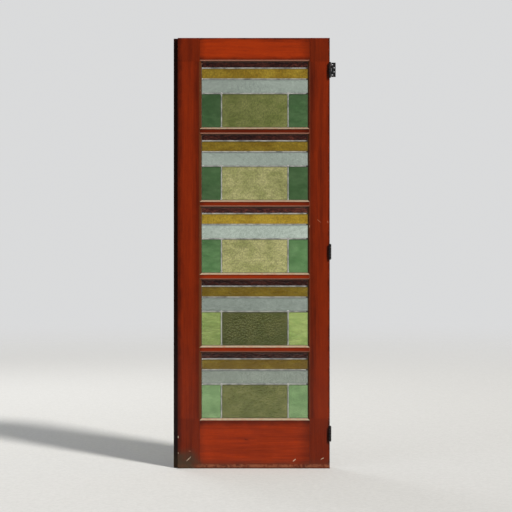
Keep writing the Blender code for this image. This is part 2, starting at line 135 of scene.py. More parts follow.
class Wire:
    """A socket of a shader tree that takes part in Python expressions."""

    def __init__(self, sheet: "ShaderSheet", socket: bpy.types.NodeSocket) -> None:
        """Keep the socket and the sheet on which further nodes are placed."""
        self.sheet = sheet
        self.socket = socket

    def _maths(self, operation: str, *values: "Wire | float") -> "Wire":
        """Place a Math node on one or two values."""
        return self.sheet.node("ShaderNodeMath", {"operation": operation}, dict(enumerate(values)))

    def __add__(self, other: "Wire | float") -> "Wire":
        """Sum."""
        return self._maths("ADD", self, other)

    def __radd__(self, other: float) -> "Wire":
        """Sum with a number in front."""
        return self._maths("ADD", other, self)

    def __sub__(self, other: "Wire | float") -> "Wire":
        """Difference."""
        return self._maths("SUBTRACT", self, other)

    def __rsub__(self, other: float) -> "Wire":
        """Difference with a number in front."""
        return self._maths("SUBTRACT", other, self)

    def __mul__(self, other: "Wire | float") -> "Wire":
        """Product."""
        return self._maths("MULTIPLY", self, other)

    def __rmul__(self, other: float) -> "Wire":
        """Product with a number in front."""
        return self._maths("MULTIPLY", other, self)

    def __neg__(self) -> "Wire":
        """Opposite value."""
        return self._maths("MULTIPLY", self, -1.0)

    def __abs__(self) -> "Wire":
        """Size of the value without its sign."""
        return self._maths("ABSOLUTE", self)

    def __or__(self, other: "Wire | float") -> "Wire":
        """Larger of two masks."""
        return self._maths("MAXIMUM", self, other)

    def rising(self, low: float, high: float) -> "Wire":
        """Mask that rises softly from 0 at the low value to 1 at the high value."""
        limits = {"Value": self, "From Min": low, "From Max": high}
        return self.sheet.node("ShaderNodeMapRange", {"interpolation_type": "SMOOTHSTEP"}, limits)

    def falling(self, low: float, high: float) -> "Wire":
        """Mask that falls softly from 1 at the low value to 0 at the high value."""
        return 1.0 - self.rising(low, high)

    def within(self, low: float, high: float, soft: float) -> "Wire":
        """Mask of the values between two limits, with soft ends."""
        return self.rising(low - soft, low + soft) * self.falling(high - soft, high + soft)


class ShaderSheet:
    """A node tree on which the nodes of one finish are placed."""

    def __init__(self, owner: bpy.types.Material | bpy.types.World) -> None:
        """Open the node tree of a material or a world.

        Args:
            owner: the material or the world.
        """
        owner.use_nodes = True
        self.owner = owner
        self.tree = owner.node_tree

    @classmethod
    def for_material(cls, name: str) -> "ShaderSheet":
        """Start the sheet of a new material."""
        return cls(bpy.data.materials.new(name))

    @staticmethod
    def _pick(sockets: Iterable[bpy.types.NodeSocket], key: int | str) -> bpy.types.NodeSocket:
        """Find a socket among those in use.

        Args:
            sockets: the inputs or outputs of a node.
            key: the socket's number or name.

        Returns:
            The socket.
        """
        in_use = [socket for socket in sockets if socket.enabled]
        if isinstance(key, int):
            return in_use[key]
        return next(socket for socket in in_use if socket.name == key)

    def feed(self, socket: bpy.types.NodeSocket, value: object) -> None:
        """Link a wire to a socket, or set the socket's own value.

        Args:
            socket: the socket that is fed.
            value: a wire, a number, a colour or a vector.
        """
        if isinstance(value, Wire):
            self.tree.links.new(value.socket, socket)
        elif socket.type == "RGBA" and len(value) == 3:
            socket.default_value = (*value, 1.0)
        else:
            socket.default_value = value

    def node(
        self, kind: str, settings: dict | None = None, values: dict | None = None,
        output: int | str = 0,
    ) -> Wire:
        """Place a node.

        Args:
            kind: Blender's name of the node's type.
            settings: attributes that are set first.
            values: numbers, colours or wires for its sockets, by name or number.
            output: the socket that is handed back.

        Returns:
            The chosen output as a wire.
        """
        placed = self.tree.nodes.new(kind)
        for key, value in (settings or {}).items():
            setattr(placed, key, value)
        for key, value in (values or {}).items():
            self.feed(self._pick(placed.inputs, key), value)
        return Wire(self, self._pick(placed.outputs, output))

    def place(self) -> Wire:
        """Object coordinates, which are the model's own metres."""
        return self.node("ShaderNodeTexCoord", output="Object")

    def facing(self) -> tuple[Wire, Wire, Wire]:
        """Direction that a face looks in, as x, y and z."""
        return self.split(self.node("ShaderNodeNewGeometry", output="True Normal"))

    def stored(self, name: str) -> Wire:
        """Value that a piece's mesh stores under a name."""
        return self.node("ShaderNodeAttribute", {"attribute_name": name}, output="Fac")

    def split(self, vector: Wire) -> tuple[Wire, Wire, Wire]:
        """Take a vector apart into x, y and z."""
        parts = self.node("ShaderNodeSeparateXYZ", values={0: vector}).socket.node
        return tuple(Wire(self, socket) for socket in parts.outputs)

    def vector(self, operation: str, *vectors: Wire | Triple, output: int | str = 0) -> Wire:
        """Place a Vector Math node."""
        values = dict(enumerate(vectors))
        return self.node("ShaderNodeVectorMath", {"operation": operation}, values, output)

    def mapped(self, vector: Wire, scale: Triple, shift: Triple = (0.0, 0.0, 0.0)) -> Wire:
        """Stretch and shift a pattern on its piece."""
        values = {"Vector": vector, "Scale": scale, "Location": shift}
        return self.node("ShaderNodeMapping", values=values)

    def noise(
        self, vector: Wire, scale: float, detail: float = 3.0, rough: float = 0.6,
        output: int | str = "Fac",
    ) -> Wire:
        """Cloudy noise with so many clouds to the metre."""
        values = {"Vector": vector, "Scale": scale, "Detail": detail, "Roughness": rough}
        return self.node("ShaderNodeTexNoise", values=values, output=output)

    def mix(self, share: Wire | float, first: Wire | Colour, second: Wire | Colour) -> Wire:
        """Blend two colours."""
        return self._blend("MIX", share, first, second)

    def shaded(self, colour: Wire, shade: Wire) -> Wire:
        """Multiply a colour by a shade of grey."""
        grey = self.node("ShaderNodeCombineColor", values={0: shade, 1: shade, 2: shade})
        return self._blend("MULTIPLY", 1.0, colour, grey)

    def _blend(self, kind: str, share: object, first: object, second: object) -> Wire:
        """Place a colour Mix node of one kind."""
        settings = {"data_type": "RGBA", "blend_type": kind}
        return self.node("ShaderNodeMix", settings, {"Factor": share, "A": first, "B": second})

    def bump(self, height: Wire, strength: float, distance: float) -> Wire:
        """Turn a height into a normal."""
        values = {"Height": height, "Strength": strength, "Distance": distance}
        return self.node("ShaderNodeBump", values=values, output="Normal")

    def principled(self, **values: object) -> bpy.types.Material:
        """Feed the main shader of a material.

        Args:
            values: numbers, colours or wires by the socket's name, with _ for a space.

        Returns:
            The material.
        """
        shader = self.tree.nodes["Principled BSDF"]
        for key, value in values.items():
            self.feed(shader.inputs[key.replace("_", " ")], value)
        return self.owner


class Grain(Enum):
    """Direction in which the grain of a member runs, as the stretch of its pattern."""

    UPRIGHT = (1.0, 1.0, 0.045)
    LEVEL = (0.045, 1.0, 1.0)


@dataclass(frozen=True)
class Mark:
    """A scratch, nick or spot on the front face, as a line between two places in x and z."""

    start: Point
    end: Point
    width: float
    colour: Colour
    strength: float = 0.8

    @classmethod
    def at_pixels(
        cls, start: Point, end: Point, width: float, colour: Colour, strength: float = 0.8,
    ) -> "Mark":
        """Place a mark by the photograph's pixels."""
        return cls(photo_place(*start), photo_place(*end), width, colour, strength)

    def mask(self, sheet: ShaderSheet, place: Wire) -> Wire:
        """Work out where the mark shows.

        Args:
            sheet: the sheet of the material.
            place: object coordinates.

        Returns:
            A soft, ragged mask of the mark.
        """
        start, end = Vector(self.start), Vector(self.end)
        along = (end - start).normalized() if end != start else Vector((1.0, 0.0))
        middle = (start + end) / 2
        half = (end - start).length / 2
        shifted = sheet.vector("SUBTRACT", place, (middle.x, 0.0, middle.y))
        run = sheet.vector("DOT_PRODUCT", shifted, (along.x, 0.0, along.y), output="Value")
        side = sheet.vector("DOT_PRODUCT", shifted, (-along.y, 0.0, along.x), output="Value")
        ragged = sheet.noise(place, 240.0, 4.0, 0.7) - 0.5
        taper = 1.0 - abs(run) * (0.45 / (half + self.width))
        near = abs(side + ragged * (self.width * 1.5)).falling(self.width * 0.2, self.width * 0.62)
        ends = abs(run + ragged * (self.width * 2.0)).falling(half, half + self.width * 0.6)
        return near * ends * taper * self.strength


def photo_place(column: float, row: float) -> Point:
    """Find the place of a pixel on the door's face.

    Args:
        column: pixels from the photograph's left edge.
        row: pixels from its top edge.

    Returns:
        World x and z.
    """
    x = LEFT_ARRIS + (column - PHOTO_LEFT_ARRIS) * PHOTO_SCALE
    z = FOOT + (PHOTO_FOOT - row) * PHOTO_SCALE
    return x, z


@dataclass(frozen=True)
class FrontMarks:
    """Scratches, chips, dirt and painted hinge shadows on the front, placed by the photograph's
    pixels.
    """

    corner_scratch: Mark = Mark.at_pixels((186.6, 461.0), (190.6, 457.0), 0.0030, BARE_WOOD)
    corner_rub: Mark = Mark.at_pixels((189.0, 451.0), (190.4, 451.2), 0.0030, RUBBED_VARNISH)
    arris_nick: Mark = Mark.at_pixels((178.2, 436.2), (178.3, 438.0), 0.0030, BARE_WOOD, 0.7)
    arris_chip: Mark = Mark.at_pixels((178.2, 452.5), (178.3, 453.6), 0.0026, BARE_WOOD, 0.55)
    foot_chip: Mark = Mark.at_pixels((212.0, 465.6), (214.2, 465.8), 0.0030, BARE_WOOD, 0.7)
    latch_rub: Mark = Mark.at_pixels((317.4, 219.6), (320.6, 222.2), 0.0026, RUBBED_VARNISH)
    edge_rub: Mark = Mark.at_pixels((327.6, 221.0), (328.0, 223.0), 0.0026, RUBBED_VARNISH)
    light_chip: Mark = Mark.at_pixels((309.4, 225.2), (309.6, 227.2), 0.0032, BARE_WOOD, 0.7)
    hinge_side_scratch: Mark = Mark.at_pixels(
        (321.0, 459.4), (323.6, 457.8), 0.0034, BARE_WOOD, 0.75)
    rail_scratch: Mark = Mark.at_pixels((293.2, 461.2), (295.4, 459.2), 0.0044, BARE_WOOD, 0.8)
    rail_dent: Mark = Mark.at_pixels((244.6, 439.2), (248.4, 440.2), 0.0050, BLACK_DIRT_AND_SHADOW, 0.7)
    # Where the painted shadow and dirt beside each hinge go, in pixels
    hinge_column: float = 327.9
    hinge_tops: tuple[float, ...] = (64.5, 246.5, 429.0)
    hinge_rows: float = 13.5

    def closing_stile(self) -> tuple[Mark, ...]:
        """Marks on the left stile."""
        return (
            self.corner_scratch, self.corner_rub, self.arris_nick, self.arris_chip, self.foot_chip)

    def hinge_stile(self) -> tuple[Mark, ...]:
        """Marks on the right stile, with the painted shadow and dirt beside each hinge.

        Returns:
            The marks.
        """
        # Painted shadow of each knuckle, with dirt from the hinge
        dirt = (
            Mark.at_pixels(
                (self.hinge_column, top), (self.hinge_column, top + self.hinge_rows),
                0.0110, BLACK_DIRT_AND_SHADOW, 0.9)
            for top in self.hinge_tops
        )
        return self.latch_rub, self.edge_rub, self.light_chip, self.hinge_side_scratch, *dirt

    def bottom_rail(self) -> tuple[Mark, ...]:
        """Marks on the bottom rail."""
        return self.rail_scratch, self.rail_dent


def beside_lights(height: Wire) -> Wire:
    """Mask of the heights between the rails, where a stile runs beside the lights."""
    return height.within(SILL, LINTEL, 0.005)


@dataclass(frozen=True)
class VarnishedWood:
    """Old red-brown hardwood under worn varnish, with bleached mouldings and painted light and shade.

    Its edges are where the member's long edges lie, across the grain. Its shade is how far the
    darker varnish reaches in from each of them, and its edge_tone is how dark it gets there.
    """

    name: str
    grain: Grain
    tone: float = 1.0
    shift: Triple = (0.0, 0.0, 0.0)
    edges: tuple[float, float] = (-FAR, FAR)
    shade: tuple[float, float] = (0.035, 0.035)
    edge_tone: float = 0.42
    marks: tuple[Mark, ...] = ()
    deep: Colour = (0.145, 0.0120, 0.0008)
    warm: Colour = (0.290, 0.0240, 0.0010)
    bright: Colour = (0.410, 0.0400, 0.0016)
    worn: Colour = (0.330, 0.1150, 0.0550)
    cream: Colour = (0.385, 0.3050, 0.2120)
    painted_pink_reflection: Colour = (0.560, 0.2500, 0.1700)
    lit: Colour = (0.230, 0.0600, 0.0300)
    painted_hollow_shade: Colour = (0.020, 0.0070, 0.0040)
    umber: Colour = (0.090, 0.0300, 0.0100)
    grime: Colour = (0.045, 0.0300, 0.0180)

    def build(self) -> bpy.types.Material:
        """Make the material.

        Returns:
            The material.
        """
        sheet = ShaderSheet.for_material(self.name)
        place = sheet.place()
        colour, relief = self._timber(sheet, place)
        colour, bare = self._weathered(sheet, place, colour)
        varnish = sheet.noise(place, 9.0, 4.0, 0.65)
        fine = sheet.noise(place, 160.0, 3.0, 0.6)
        roughness = 0.34 + varnish * 0.16 + fine * 0.08 + bare * 0.30
        coat = (0.30 - varnish * 0.22) * (1.0 - bare)
        return sheet.principled(
            Base_Color=colour,
            Roughness=roughness,
            Coat_Weight=coat,
            Normal=sheet.bump(relief + fine * 0.25 + bare * 0.5, 0.30, 0.0005),
            Specular_IOR_Level=0.07,
            Coat_Roughness=0.12,
        )

    def _timber(self, sheet: ShaderSheet, place: Wire) -> tuple[Wire, Wire]:
        """Colour and relief of the bare grain, darkened at the edges, with painted shade on the lip
        and towards the foot.

        Args:
            sheet: the sheet of the material.
            place: object coordinates.

        Returns:
            The timber's colour, and the height of its pores and streaks.
        """
        sway = sheet.noise(place, 1.6, 2.0, 0.5, output="Color")
        swayed = sheet.vector("MULTIPLY_ADD", sway, (0.020, 0.020, 0.020), place)
        along = sheet.mapped(swayed, self.grain.value, self.shift)
        ribbon = sheet.noise(along, 26.0, 3.0, 0.55)
        figure = sheet.noise(along, 120.0, 4.0, 0.6)
        streak = sheet.noise(along, 520.0, 4.0, 0.7)
        pores = sheet.noise(sheet.mapped(along, (1.0, 1.0, 1.0), (3.1, 1.7, 0.4)), 1500.0, 2.0, 0.5)
        blotch = sheet.noise(place, 7.0, 3.0, 0.6)
        colour = sheet.mix(ribbon.rising(0.20, 0.62), self.deep, self.warm)
        colour = sheet.mix(figure.rising(0.28, 0.82) * 0.64, colour, self.bright)
        colour = sheet.mix(streak.rising(0.48, 0.76) * 0.46, colour, self.deep)
        colour = sheet.mix(pores.rising(0.54, 0.70) * 0.50, colour, self.deep)
        _, _, height = sheet.split(place)
        # Painted shade, darker towards the foot
        painted_foot_shade = 1.0 - height.falling(FOOT + 0.1, FOOT + 1.5) * 0.15
        shade = (0.84 + blotch * 0.32) * painted_foot_shade * self.tone * self._edge_shade(sheet, place)
        return sheet.shaded(colour, shade), streak * 0.5 - pores.rising(0.55, 0.75) * 0.8

    def _edge_shade(self, sheet: ShaderSheet, place: Wire) -> Wire:
        """Darken the varnish towards the member's edges and joints, and paint shade on the door's lip
        and left edge.

        Args:
            sheet: the sheet of the material.
            place: object coordinates.

        Returns:
            A factor on the timber's colour.
        """
        x, y, z = sheet.split(place)
        across = x if self.grain is Grain.UPRIGHT else z
        cloud = (sheet.noise(place, 16.0, 3.0, 0.6) - 0.5) * 0.030
        low, high = self.edges
        share = min(1.0, max(self.shade) / 0.035)
        from_low = (across + cloud * share - low).rising(0.0, self.shade[0])
        from_high = (high - across + cloud * share).rising(0.0, self.shade[1])
        # The meeting lip gets a painted shade, and the door's left edge a lighter one
        past_lip = x.rising(LEFT_ARRIS - 0.0012, LEFT_ARRIS - 0.0002)
        face_x, _, _ = sheet.facing()
        left_side = (-face_x).rising(0.6, 0.9) * 0.6
        free_of_lip_shade = past_lip | y.rising(BACK - 0.020, BACK - 0.018) | left_side
        shade = self.edge_tone + from_low * from_high * (1.0 - self.edge_tone)
        if self.grain is Grain.UPRIGHT:
            beside = beside_lights(z)
            away = abs(x - LIGHT_MIDDLE) - LIGHT_HALF + cloud
            shade = shade * (1.0 - away.falling(0.0, 0.040) * beside * 0.40) * (0.80 + beside * 0.20)
        else:
            left_end = (x - LIGHT_LEFT + cloud).falling(-0.010, 0.038) * 0.34
            right_end = (LIGHT_RIGHT - x + cloud).falling(-0.020, 0.066) * 0.46
            shade = shade * (1.0 - left_end) * (1.0 - right_end)
        # Painted shade on the meeting lip and, lighter, on the left edge
        return shade * (0.28 + free_of_lip_shade * 0.72)

    def _weathered(self, sheet: ShaderSheet, place: Wire, colour: Wire) -> tuple[Wire, Wire]:
        """Lay painted light and shade, wear and dirt over the timber.

        Args:
            sheet: the sheet of the material.
            place: object coordinates.
            colour: the timber's colour.

        Returns:
            The weathered colour, and a mask of where the varnish is gone.
        """
        x, y, z = sheet.split(place)
        face_x, _, face_z = sheet.facing()
        worn_noise = sheet.noise(place, 55.0, 4.0, 0.7)
        broad = sheet.noise(place, 14.0, 3.0, 0.6)
        splay = (
            y.falling(FRONT + SEAT_DEPTH, FRONT + SEAT_DEPTH + 0.002)
            * x.within(LIGHT_LEFT - 0.002, LIGHT_RIGHT + 0.002, 0.0005)
            * z.within(FOOT + 0.15, HEAD - 0.06, 0.01)
        )
        upward = face_z.rising(0.30, 0.62) * splay
        downward = (-face_z).rising(0.30, 0.62) * splay
        sideways = abs(face_x).rising(0.30, 0.62) * splay
        lower = z.falling(FOOT + 0.5, HEAD - 0.4)

        # The mouldings: bleached wood and a painted highlight where they look up, brighter lower down
        cream = sheet.mix(worn_noise.rising(0.40, 0.72) * 0.55, self.cream, self.worn)
        colour = sheet.mix(sideways * (0.60 + broad * 0.5), colour, self.umber)
        # Where they look down, a painted pink reflection, with painted shade in the hollow behind it
        colour = sheet.mix(downward * (0.95 - lower * 0.40), colour, self.painted_pink_reflection)
        hollow = downward * y.rising(FRONT + 0.0050, FRONT + 0.0072)
        colour = sheet.mix(hollow * 0.88, colour, self.painted_hollow_shade)
        colour = sheet.mix(upward * (0.78 + lower * 0.18), colour, cream)

        # The arrises, rubbed through to pale wood
        rubbed = sheet.stored("arris") * worn_noise.rising(0.42, 0.66) * 0.75
        colour = sheet.mix(rubbed, colour, self.worn)

        # The stiles' edges beside the lights: a painted highlight on the right, and darker on the left
        beside = beside_lights(z)
        lit = x.within(LIGHT_RIGHT - 0.0028, LIGHT_RIGHT + 0.0012, 0.0010) * beside
        colour = sheet.mix(lit * (0.30 + worn_noise * 0.7), colour, self.lit)
        left_edge_darker = x.within(LIGHT_LEFT - 0.0040, LIGHT_LEFT + 0.0005, 0.0010) * beside
        colour = sheet.mix(left_edge_darker * 0.50, colour, self.umber)

        # The foot, dirtiest in its left corner
        corner = x.falling(LEFT_ARRIS + 0.07, LEFT_ARRIS + 0.13)
        height = z - corner * 0.050
        foot = height.falling(FOOT - 0.004, FOOT + 0.062) * (0.55 + broad.rising(0.30, 0.62) * 0.45)
        dirt = foot * (0.52 + corner * 0.44)
        colour = sheet.mix(dirt, colour, self.grime)
        scuffed = z.within(FOOT + 0.006, FOOT + 0.020, 0.004) * worn_noise.rising(0.36, 0.60)
        colour = sheet.mix(scuffed * (0.5 - corner * 0.4), colour, self.worn)

        # Scratches, chips, dirt and painted knuckle shadows, on the front only
        bare = upward * 0.9 | downward * 0.5 | rubbed | dirt * 0.8 | scuffed * 0.6
        front = y.falling(FRONT + 0.010, FRONT + 0.014)
        for mark in self.marks:
            mask = mark.mask(sheet, place) * front
            colour = sheet.mix(mask, colour, mark.colour)
            bare = bare | mask
        return colour, bare


@dataclass(frozen=True)
class BeadWood:
    """Glazing beads of the same timber, darker and duller, on the side that stays indoors."""

    name: str = "bead_wood"
    deep: Colour = (0.060, 0.0090, 0.0030)
    warm: Colour = (0.200, 0.0280, 0.0070)
    worn: Colour = (0.260, 0.0900, 0.0400)

    def build(self) -> bpy.types.Material:
        """Make the material.

        Returns:
            The material.
        """
        sheet = ShaderSheet.for_material(self.name)
        place = sheet.place()
        own = sheet.node("ShaderNodeUVMap", {"uv_map": "grain"})
        streak = sheet.noise(sheet.mapped(own, (12.0, 420.0, 1.0)), 1.0, 4.0, 0.65)
        ribbon = sheet.noise(sheet.mapped(own, (2.0, 60.0, 1.0), (0.7, 0.2, 0.0)), 1.0, 2.0, 0.5)
        rub = sheet.noise(place, 70.0, 4.0, 0.7)
        colour = sheet.mix(ribbon.rising(0.3, 0.7), self.deep, self.warm)
        colour = sheet.mix(streak.rising(0.45, 0.75) * 0.6, colour, self.deep)
        rubbed = sheet.stored("arris") * rub.rising(0.45, 0.65) * 0.8
        colour = sheet.mix(rubbed, colour, self.worn)
        return sheet.principled(
            Base_Color=colour,
            Roughness=0.38 + rub * 0.2 + rubbed * 0.2,
            Coat_Weight=0.35 - rubbed * 0.35,
            Normal=sheet.bump(streak, 0.3, 0.0004),
            Specular_IOR_Level=0.3,
            Coat_Roughness=0.2,
        )


def painted_lead_shadow(sheet: ShaderSheet, place: Wire) -> Wire:
    """Find the painted shadow of the right moulding on the lead at the hinge side of each light.

    Args:
        sheet: the sheet of the material.
        place: object coordinates.

    Returns:
        A mask of the painted shadow.
    """
    x, _, _ = sheet.split(place)
    ragged = (sheet.noise(place, 150.0, 3.0, 0.6) - 0.5) * 0.006
    return (x + ragged).rising(SIGHT_RIGHT - 0.012, SIGHT_RIGHT - 0.006) * 0.92


@dataclass(frozen=True)
class WeatheredLead:
    """Dull grey lead with a pale bloom, and a painted shadow at the hinge side of each light."""

    name: str = "weathered_lead"
    bloom: Colour = (0.330, 0.3350, 0.3150)
    grey: Colour = (0.140, 0.1450, 0.1450)
    dark: Colour = (0.060, 0.0600, 0.0600)

    def build(self) -> bpy.types.Material:
        """Make the material.

        Returns:
            The material.
        """
        sheet = ShaderSheet.for_material(self.name)
        place = sheet.place()
        broad = sheet.noise(place, 26.0, 4.0, 0.65)
        fine = sheet.noise(place, 420.0, 4.0, 0.7)
        pits = sheet.noise(place, 900.0, 2.0, 0.6)
        colour = sheet.mix(broad.rising(0.32, 0.62), self.grey, self.bloom)
        colour = sheet.mix(fine.rising(0.55, 0.75) * 0.45, colour, self.dark)
        # Painted shadow of the right moulding over the lead's ends
        colour = sheet.mix(painted_lead_shadow(sheet, place), colour, LEAD_SHADOW_DARK)
        return sheet.principled(
            Base_Color=colour,
            Metallic=0.45 - broad.rising(0.32, 0.62) * 0.3,
            Roughness=0.50 + fine * 0.25,
            Normal=sheet.bump(fine + pits * 0.5, 0.35, 0.0004),
        )


@dataclass(frozen=True)
class Solder:
    """Tin solder run over the joints of the lead, brighter than the lead itself."""

    name: str = "solder"
    bright: Colour = (0.560, 0.5600, 0.5400)
    dull: Colour = (0.260, 0.2600, 0.2550)

    def build(self) -> bpy.types.Material:
        """Make the material.

        Returns:
            The material.
        """
        sheet = ShaderSheet.for_material(self.name)
        place = sheet.place()
        broad = sheet.noise(place, 180.0, 3.0, 0.6)
        fine = sheet.noise(place, 900.0, 3.0, 0.7)
        colour = sheet.mix(broad.rising(0.35, 0.65), self.dull, self.bright)
        # The joints at the hinge side carry the same painted shadow as the lead
        return sheet.principled(
            Base_Color=sheet.mix(painted_lead_shadow(sheet, place), colour, LEAD_SHADOW_DARK),
            Metallic=0.6 - broad * 0.2,
            Roughness=0.34 + fine * 0.25,
            Normal=sheet.bump(broad + fine * 0.3, 0.4, 0.0004),
        )


@dataclass(frozen=True)
class Putty:
    """Hardened linseed putty, crazed and grey-brown."""

    name: str = "putty"
    pale: Colour = (0.110, 0.0850, 0.0600)
    dark: Colour = (0.030, 0.0210, 0.0150)

    def build(self) -> bpy.types.Material:
        """Make the material.

        Returns:
            The material.
        """
        sheet = ShaderSheet.for_material(self.name)
        place = sheet.place()
        broad = sheet.noise(place, 60.0, 4.0, 0.7)
        cracks = sheet.node(
            "ShaderNodeTexVoronoi", {"feature": "DISTANCE_TO_EDGE"},
            {"Vector": place, "Scale": 260.0}, output="Distance")
        colour = sheet.mix(broad.rising(0.35, 0.65), self.dark, self.pale)
        colour = sheet.mix(cracks.falling(0.02, 0.10) * 0.7, colour, self.dark)
        return sheet.principled(
            Base_Color=colour,
            Roughness=0.75 + broad * 0.15,
            Normal=sheet.bump(cracks.rising(0.0, 0.12) + broad, 0.4, 0.0004),
        )


@dataclass(frozen=True)
class OxidisedSteel:
    """Black-brown oxidised steel with rust in its pits and a rubbed edge."""

    name: str = "oxidised_steel"
    black: Colour = (0.020, 0.0210, 0.0230)
    rust: Colour = (0.085, 0.0320, 0.0130)
    rubbed: Colour = (0.160, 0.1600, 0.1600)

    def build(self) -> bpy.types.Material:
        """Make the material.

        Returns:
            The material.
        """
        sheet = ShaderSheet.for_material(self.name)
        place = sheet.place()
        patch = sheet.noise(place, 70.0, 5.0, 0.7)
        pits = sheet.noise(place, 620.0, 4.0, 0.7)
        rust = patch.rising(0.52, 0.68) * pits.rising(0.40, 0.60)
        bright = sheet.stored("arris") * pits.rising(0.35, 0.55) * 0.8
        colour = sheet.mix(rust, self.black, self.rust)
        colour = sheet.mix(bright, colour, self.rubbed)
        return sheet.principled(
            Base_Color=colour,
            Metallic=0.85 - rust * 0.7,
            Roughness=0.42 + pits * 0.2 + rust * 0.25 - bright * 0.12,
            Normal=sheet.bump(pits + patch * 0.5, 0.35, 0.0005),
        )


@dataclass(frozen=True)
class PlatedScrew:
    """Steel of the screws and panel pins, dull with brown in the recesses."""

    name: str = "screw_steel"
    plate: Colour = (0.200, 0.1900, 0.1750)
    rust: Colour = (0.090, 0.0400, 0.0180)

    def build(self) -> bpy.types.Material:
        """Make the material.

        Returns:
            The material.
        """
        sheet = ShaderSheet.for_material(self.name)
        place = sheet.place()
        patch = sheet.noise(place, 340.0, 4.0, 0.7)
        rust = patch.rising(0.48, 0.62)
        return sheet.principled(
            Base_Color=sheet.mix(rust, self.plate, self.rust),
            Metallic=0.9 - rust * 0.7,
            Roughness=0.36 + rust * 0.35,
            Normal=sheet.bump(patch, 0.3, 0.0003),
        )


class Depth(Enum):
    """How deep the colour of a pane's sheet is, as a factor on the light that comes through."""

    PALE = 1.70
    CLEAR = 1.30
    MEDIUM = 1.00
    DEEP = 0.68
    DARK = 0.45


class Rolling(Enum):
    """Surface that the rollers or hammers left on a sheet of glass: scale, depth and stretch."""

    HAMMERED = (140.0, 0.00062, (1.0, 1.0))
    MUFFLED = (150.0, 0.00050, (1.0, 1.0))
    RIPPLED = (85.0, 0.00040, (0.45, 1.0))
    SEEDY = (95.0, 0.00050, (1.0, 1.0))

    def height(self, x: float, z: float, seed: float) -> float:
        """Work out how thick the sheet is at a place.

        Args:
            x: metres across the door.
            z: metres up.
            seed: a number that sets one pane apart from the others.

        Returns:
            The share of the full thickness, from 0 in a hollow to 1 on a ridge.
        """
        scale, _, stretch = self.value
        place = Vector((x * scale * stretch[0], z * scale * stretch[1], seed))
        if self is Rolling.HAMMERED:
            return min(1.0, noise.voronoi(place)[0][0] * 1.25)
        if self is Rolling.SEEDY:
            return min(1.0, 2.4 * abs(noise.noise(place)))
        swell = noise.noise(place * 0.45)
        return min(1.0, max(0.0, 0.5 + 0.46 * noise.noise(place) + 0.40 * swell))


@dataclass(frozen=True)
class SheetGlass:
    """Coloured rolled glass: clear, but uneven in thickness, with seeds and streaks of colour."""

    name: str
    tint: Colour
    streak: Colour
    rolling: Rolling
    depth: Depth = Depth.MEDIUM
    roughness: float = 0.10
    mottle: float = 0.45
    fleck: float = 0.0

    def build(self) -> bpy.types.Material:
        """Make the material.

        Returns:
            The material.
        """
        sheet = ShaderSheet.for_material(self.name)
        place = sheet.place()
        tint = tuple(min(0.95, value * self.depth.value) for value in self.tint)
        streak = tuple(min(0.95, value * self.depth.value) for value in self.streak)
        thin, rim = sheet.stored("thin"), sheet.stored("rim")
        cloud = sheet.noise(sheet.mapped(place, (1.0, 1.0, 1.6)), 11.0, 3.0, 0.6)
        wisp = sheet.noise(sheet.mapped(place, (0.45, 1.0, 1.4)), 34.0, 2.0, 0.5)
        seeds = sheet.noise(place, 330.0, 1.0, 0.5)
        share = cloud.rising(0.34, 0.66) * 0.7 + wisp.rising(0.45, 0.75) * 0.3
        share = share * (1.0 - self.fleck) + thin.rising(0.58, 0.98) * self.fleck
        colour = sheet.mix(share, tint, streak)
        shade = 1.0 - self.mottle * 0.5 + thin * self.mottle + (seeds - 0.5) * 0.30
        shade = shade * (1.0 - rim * 0.92)
        return sheet.principled(
            Base_Color=sheet.shaded(colour, shade),
            Roughness=self.roughness + seeds * 0.04 + rim * 0.3,
            Transmission_Weight=1.0,
            IOR=1.5,
            Normal=sheet.bump(seeds, 0.20, 0.0005),
        )


def merged_copy(node: str) -> bmesh.types.BMesh:
    """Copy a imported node's mesh, with its loose triangles merged and its flat faces made whole.

    Args:
        node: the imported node.

    Returns:
        The copy.
    """
    bm = bmesh.new()
    bm.from_mesh(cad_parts[node].data)
    bmesh.ops.remove_doubles(bm, verts=bm.verts, dist=1e-5)
    bmesh.ops.dissolve_limit(
        bm, angle_limit=math.radians(0.5), verts=bm.verts, edges=bm.edges,
        use_dissolve_boundaries=False)
    return bm


def sharp_edges(bm: bmesh.types.BMesh, degrees: float = 20.0) -> list[bmesh.types.BMEdge]:
    """Edges where two faces meet at more than an angle."""
    limit = math.radians(degrees)
    return [e for e in bm.edges if len(e.link_faces) == 2 and e.calc_face_angle() > limit]


def round_edges(
    bm: bmesh.types.BMesh, edges: list[bmesh.types.BMEdge], width: float, segments: int = 2,
) -> list[bmesh.types.BMFace]:
    """Round edges off.

    Args:
        bm: the mesh.
        edges: the edges that are rounded.
        width: how far the rounding reaches from each edge.
        segments: the number of faces across it.

    Returns:
        The new faces.
    """
    if not edges:
        return []
    done = bmesh.ops.bevel(
        bm, geom=edges, offset=width, offset_type="OFFSET", segments=segments, profile=0.5,
        affect="EDGES", clamp_overlap=True, material=-1)
    return done["faces"]


def slice_across(bm: bmesh.types.BMesh, axis: int, places: Iterable[float]) -> None:
    """Cut every face at places along an axis, so that it can be bent there.

    Args:
        bm: the mesh.
        axis: 0, 1 or 2 for x, y or z.
        places: where the cuts go along the axis.
    """
    normal = Vector((0.0, 0.0, 0.0))
    normal[axis] = 1.0
    for place in places:
        geometry = [*bm.verts, *bm.edges, *bm.faces]
        bmesh.ops.bisect_plane(
            bm, geom=geometry, dist=CUT_TOLERANCE, plane_co=normal * place, plane_no=normal)


def steps_between(low: float, high: float, pitch: float) -> list[float]:
    """Even places between two ends, about a pitch apart and without the ends."""
    count = max(1, round((high - low) / pitch))
    return [low + (high - low) * step / count for step in range(1, count)]


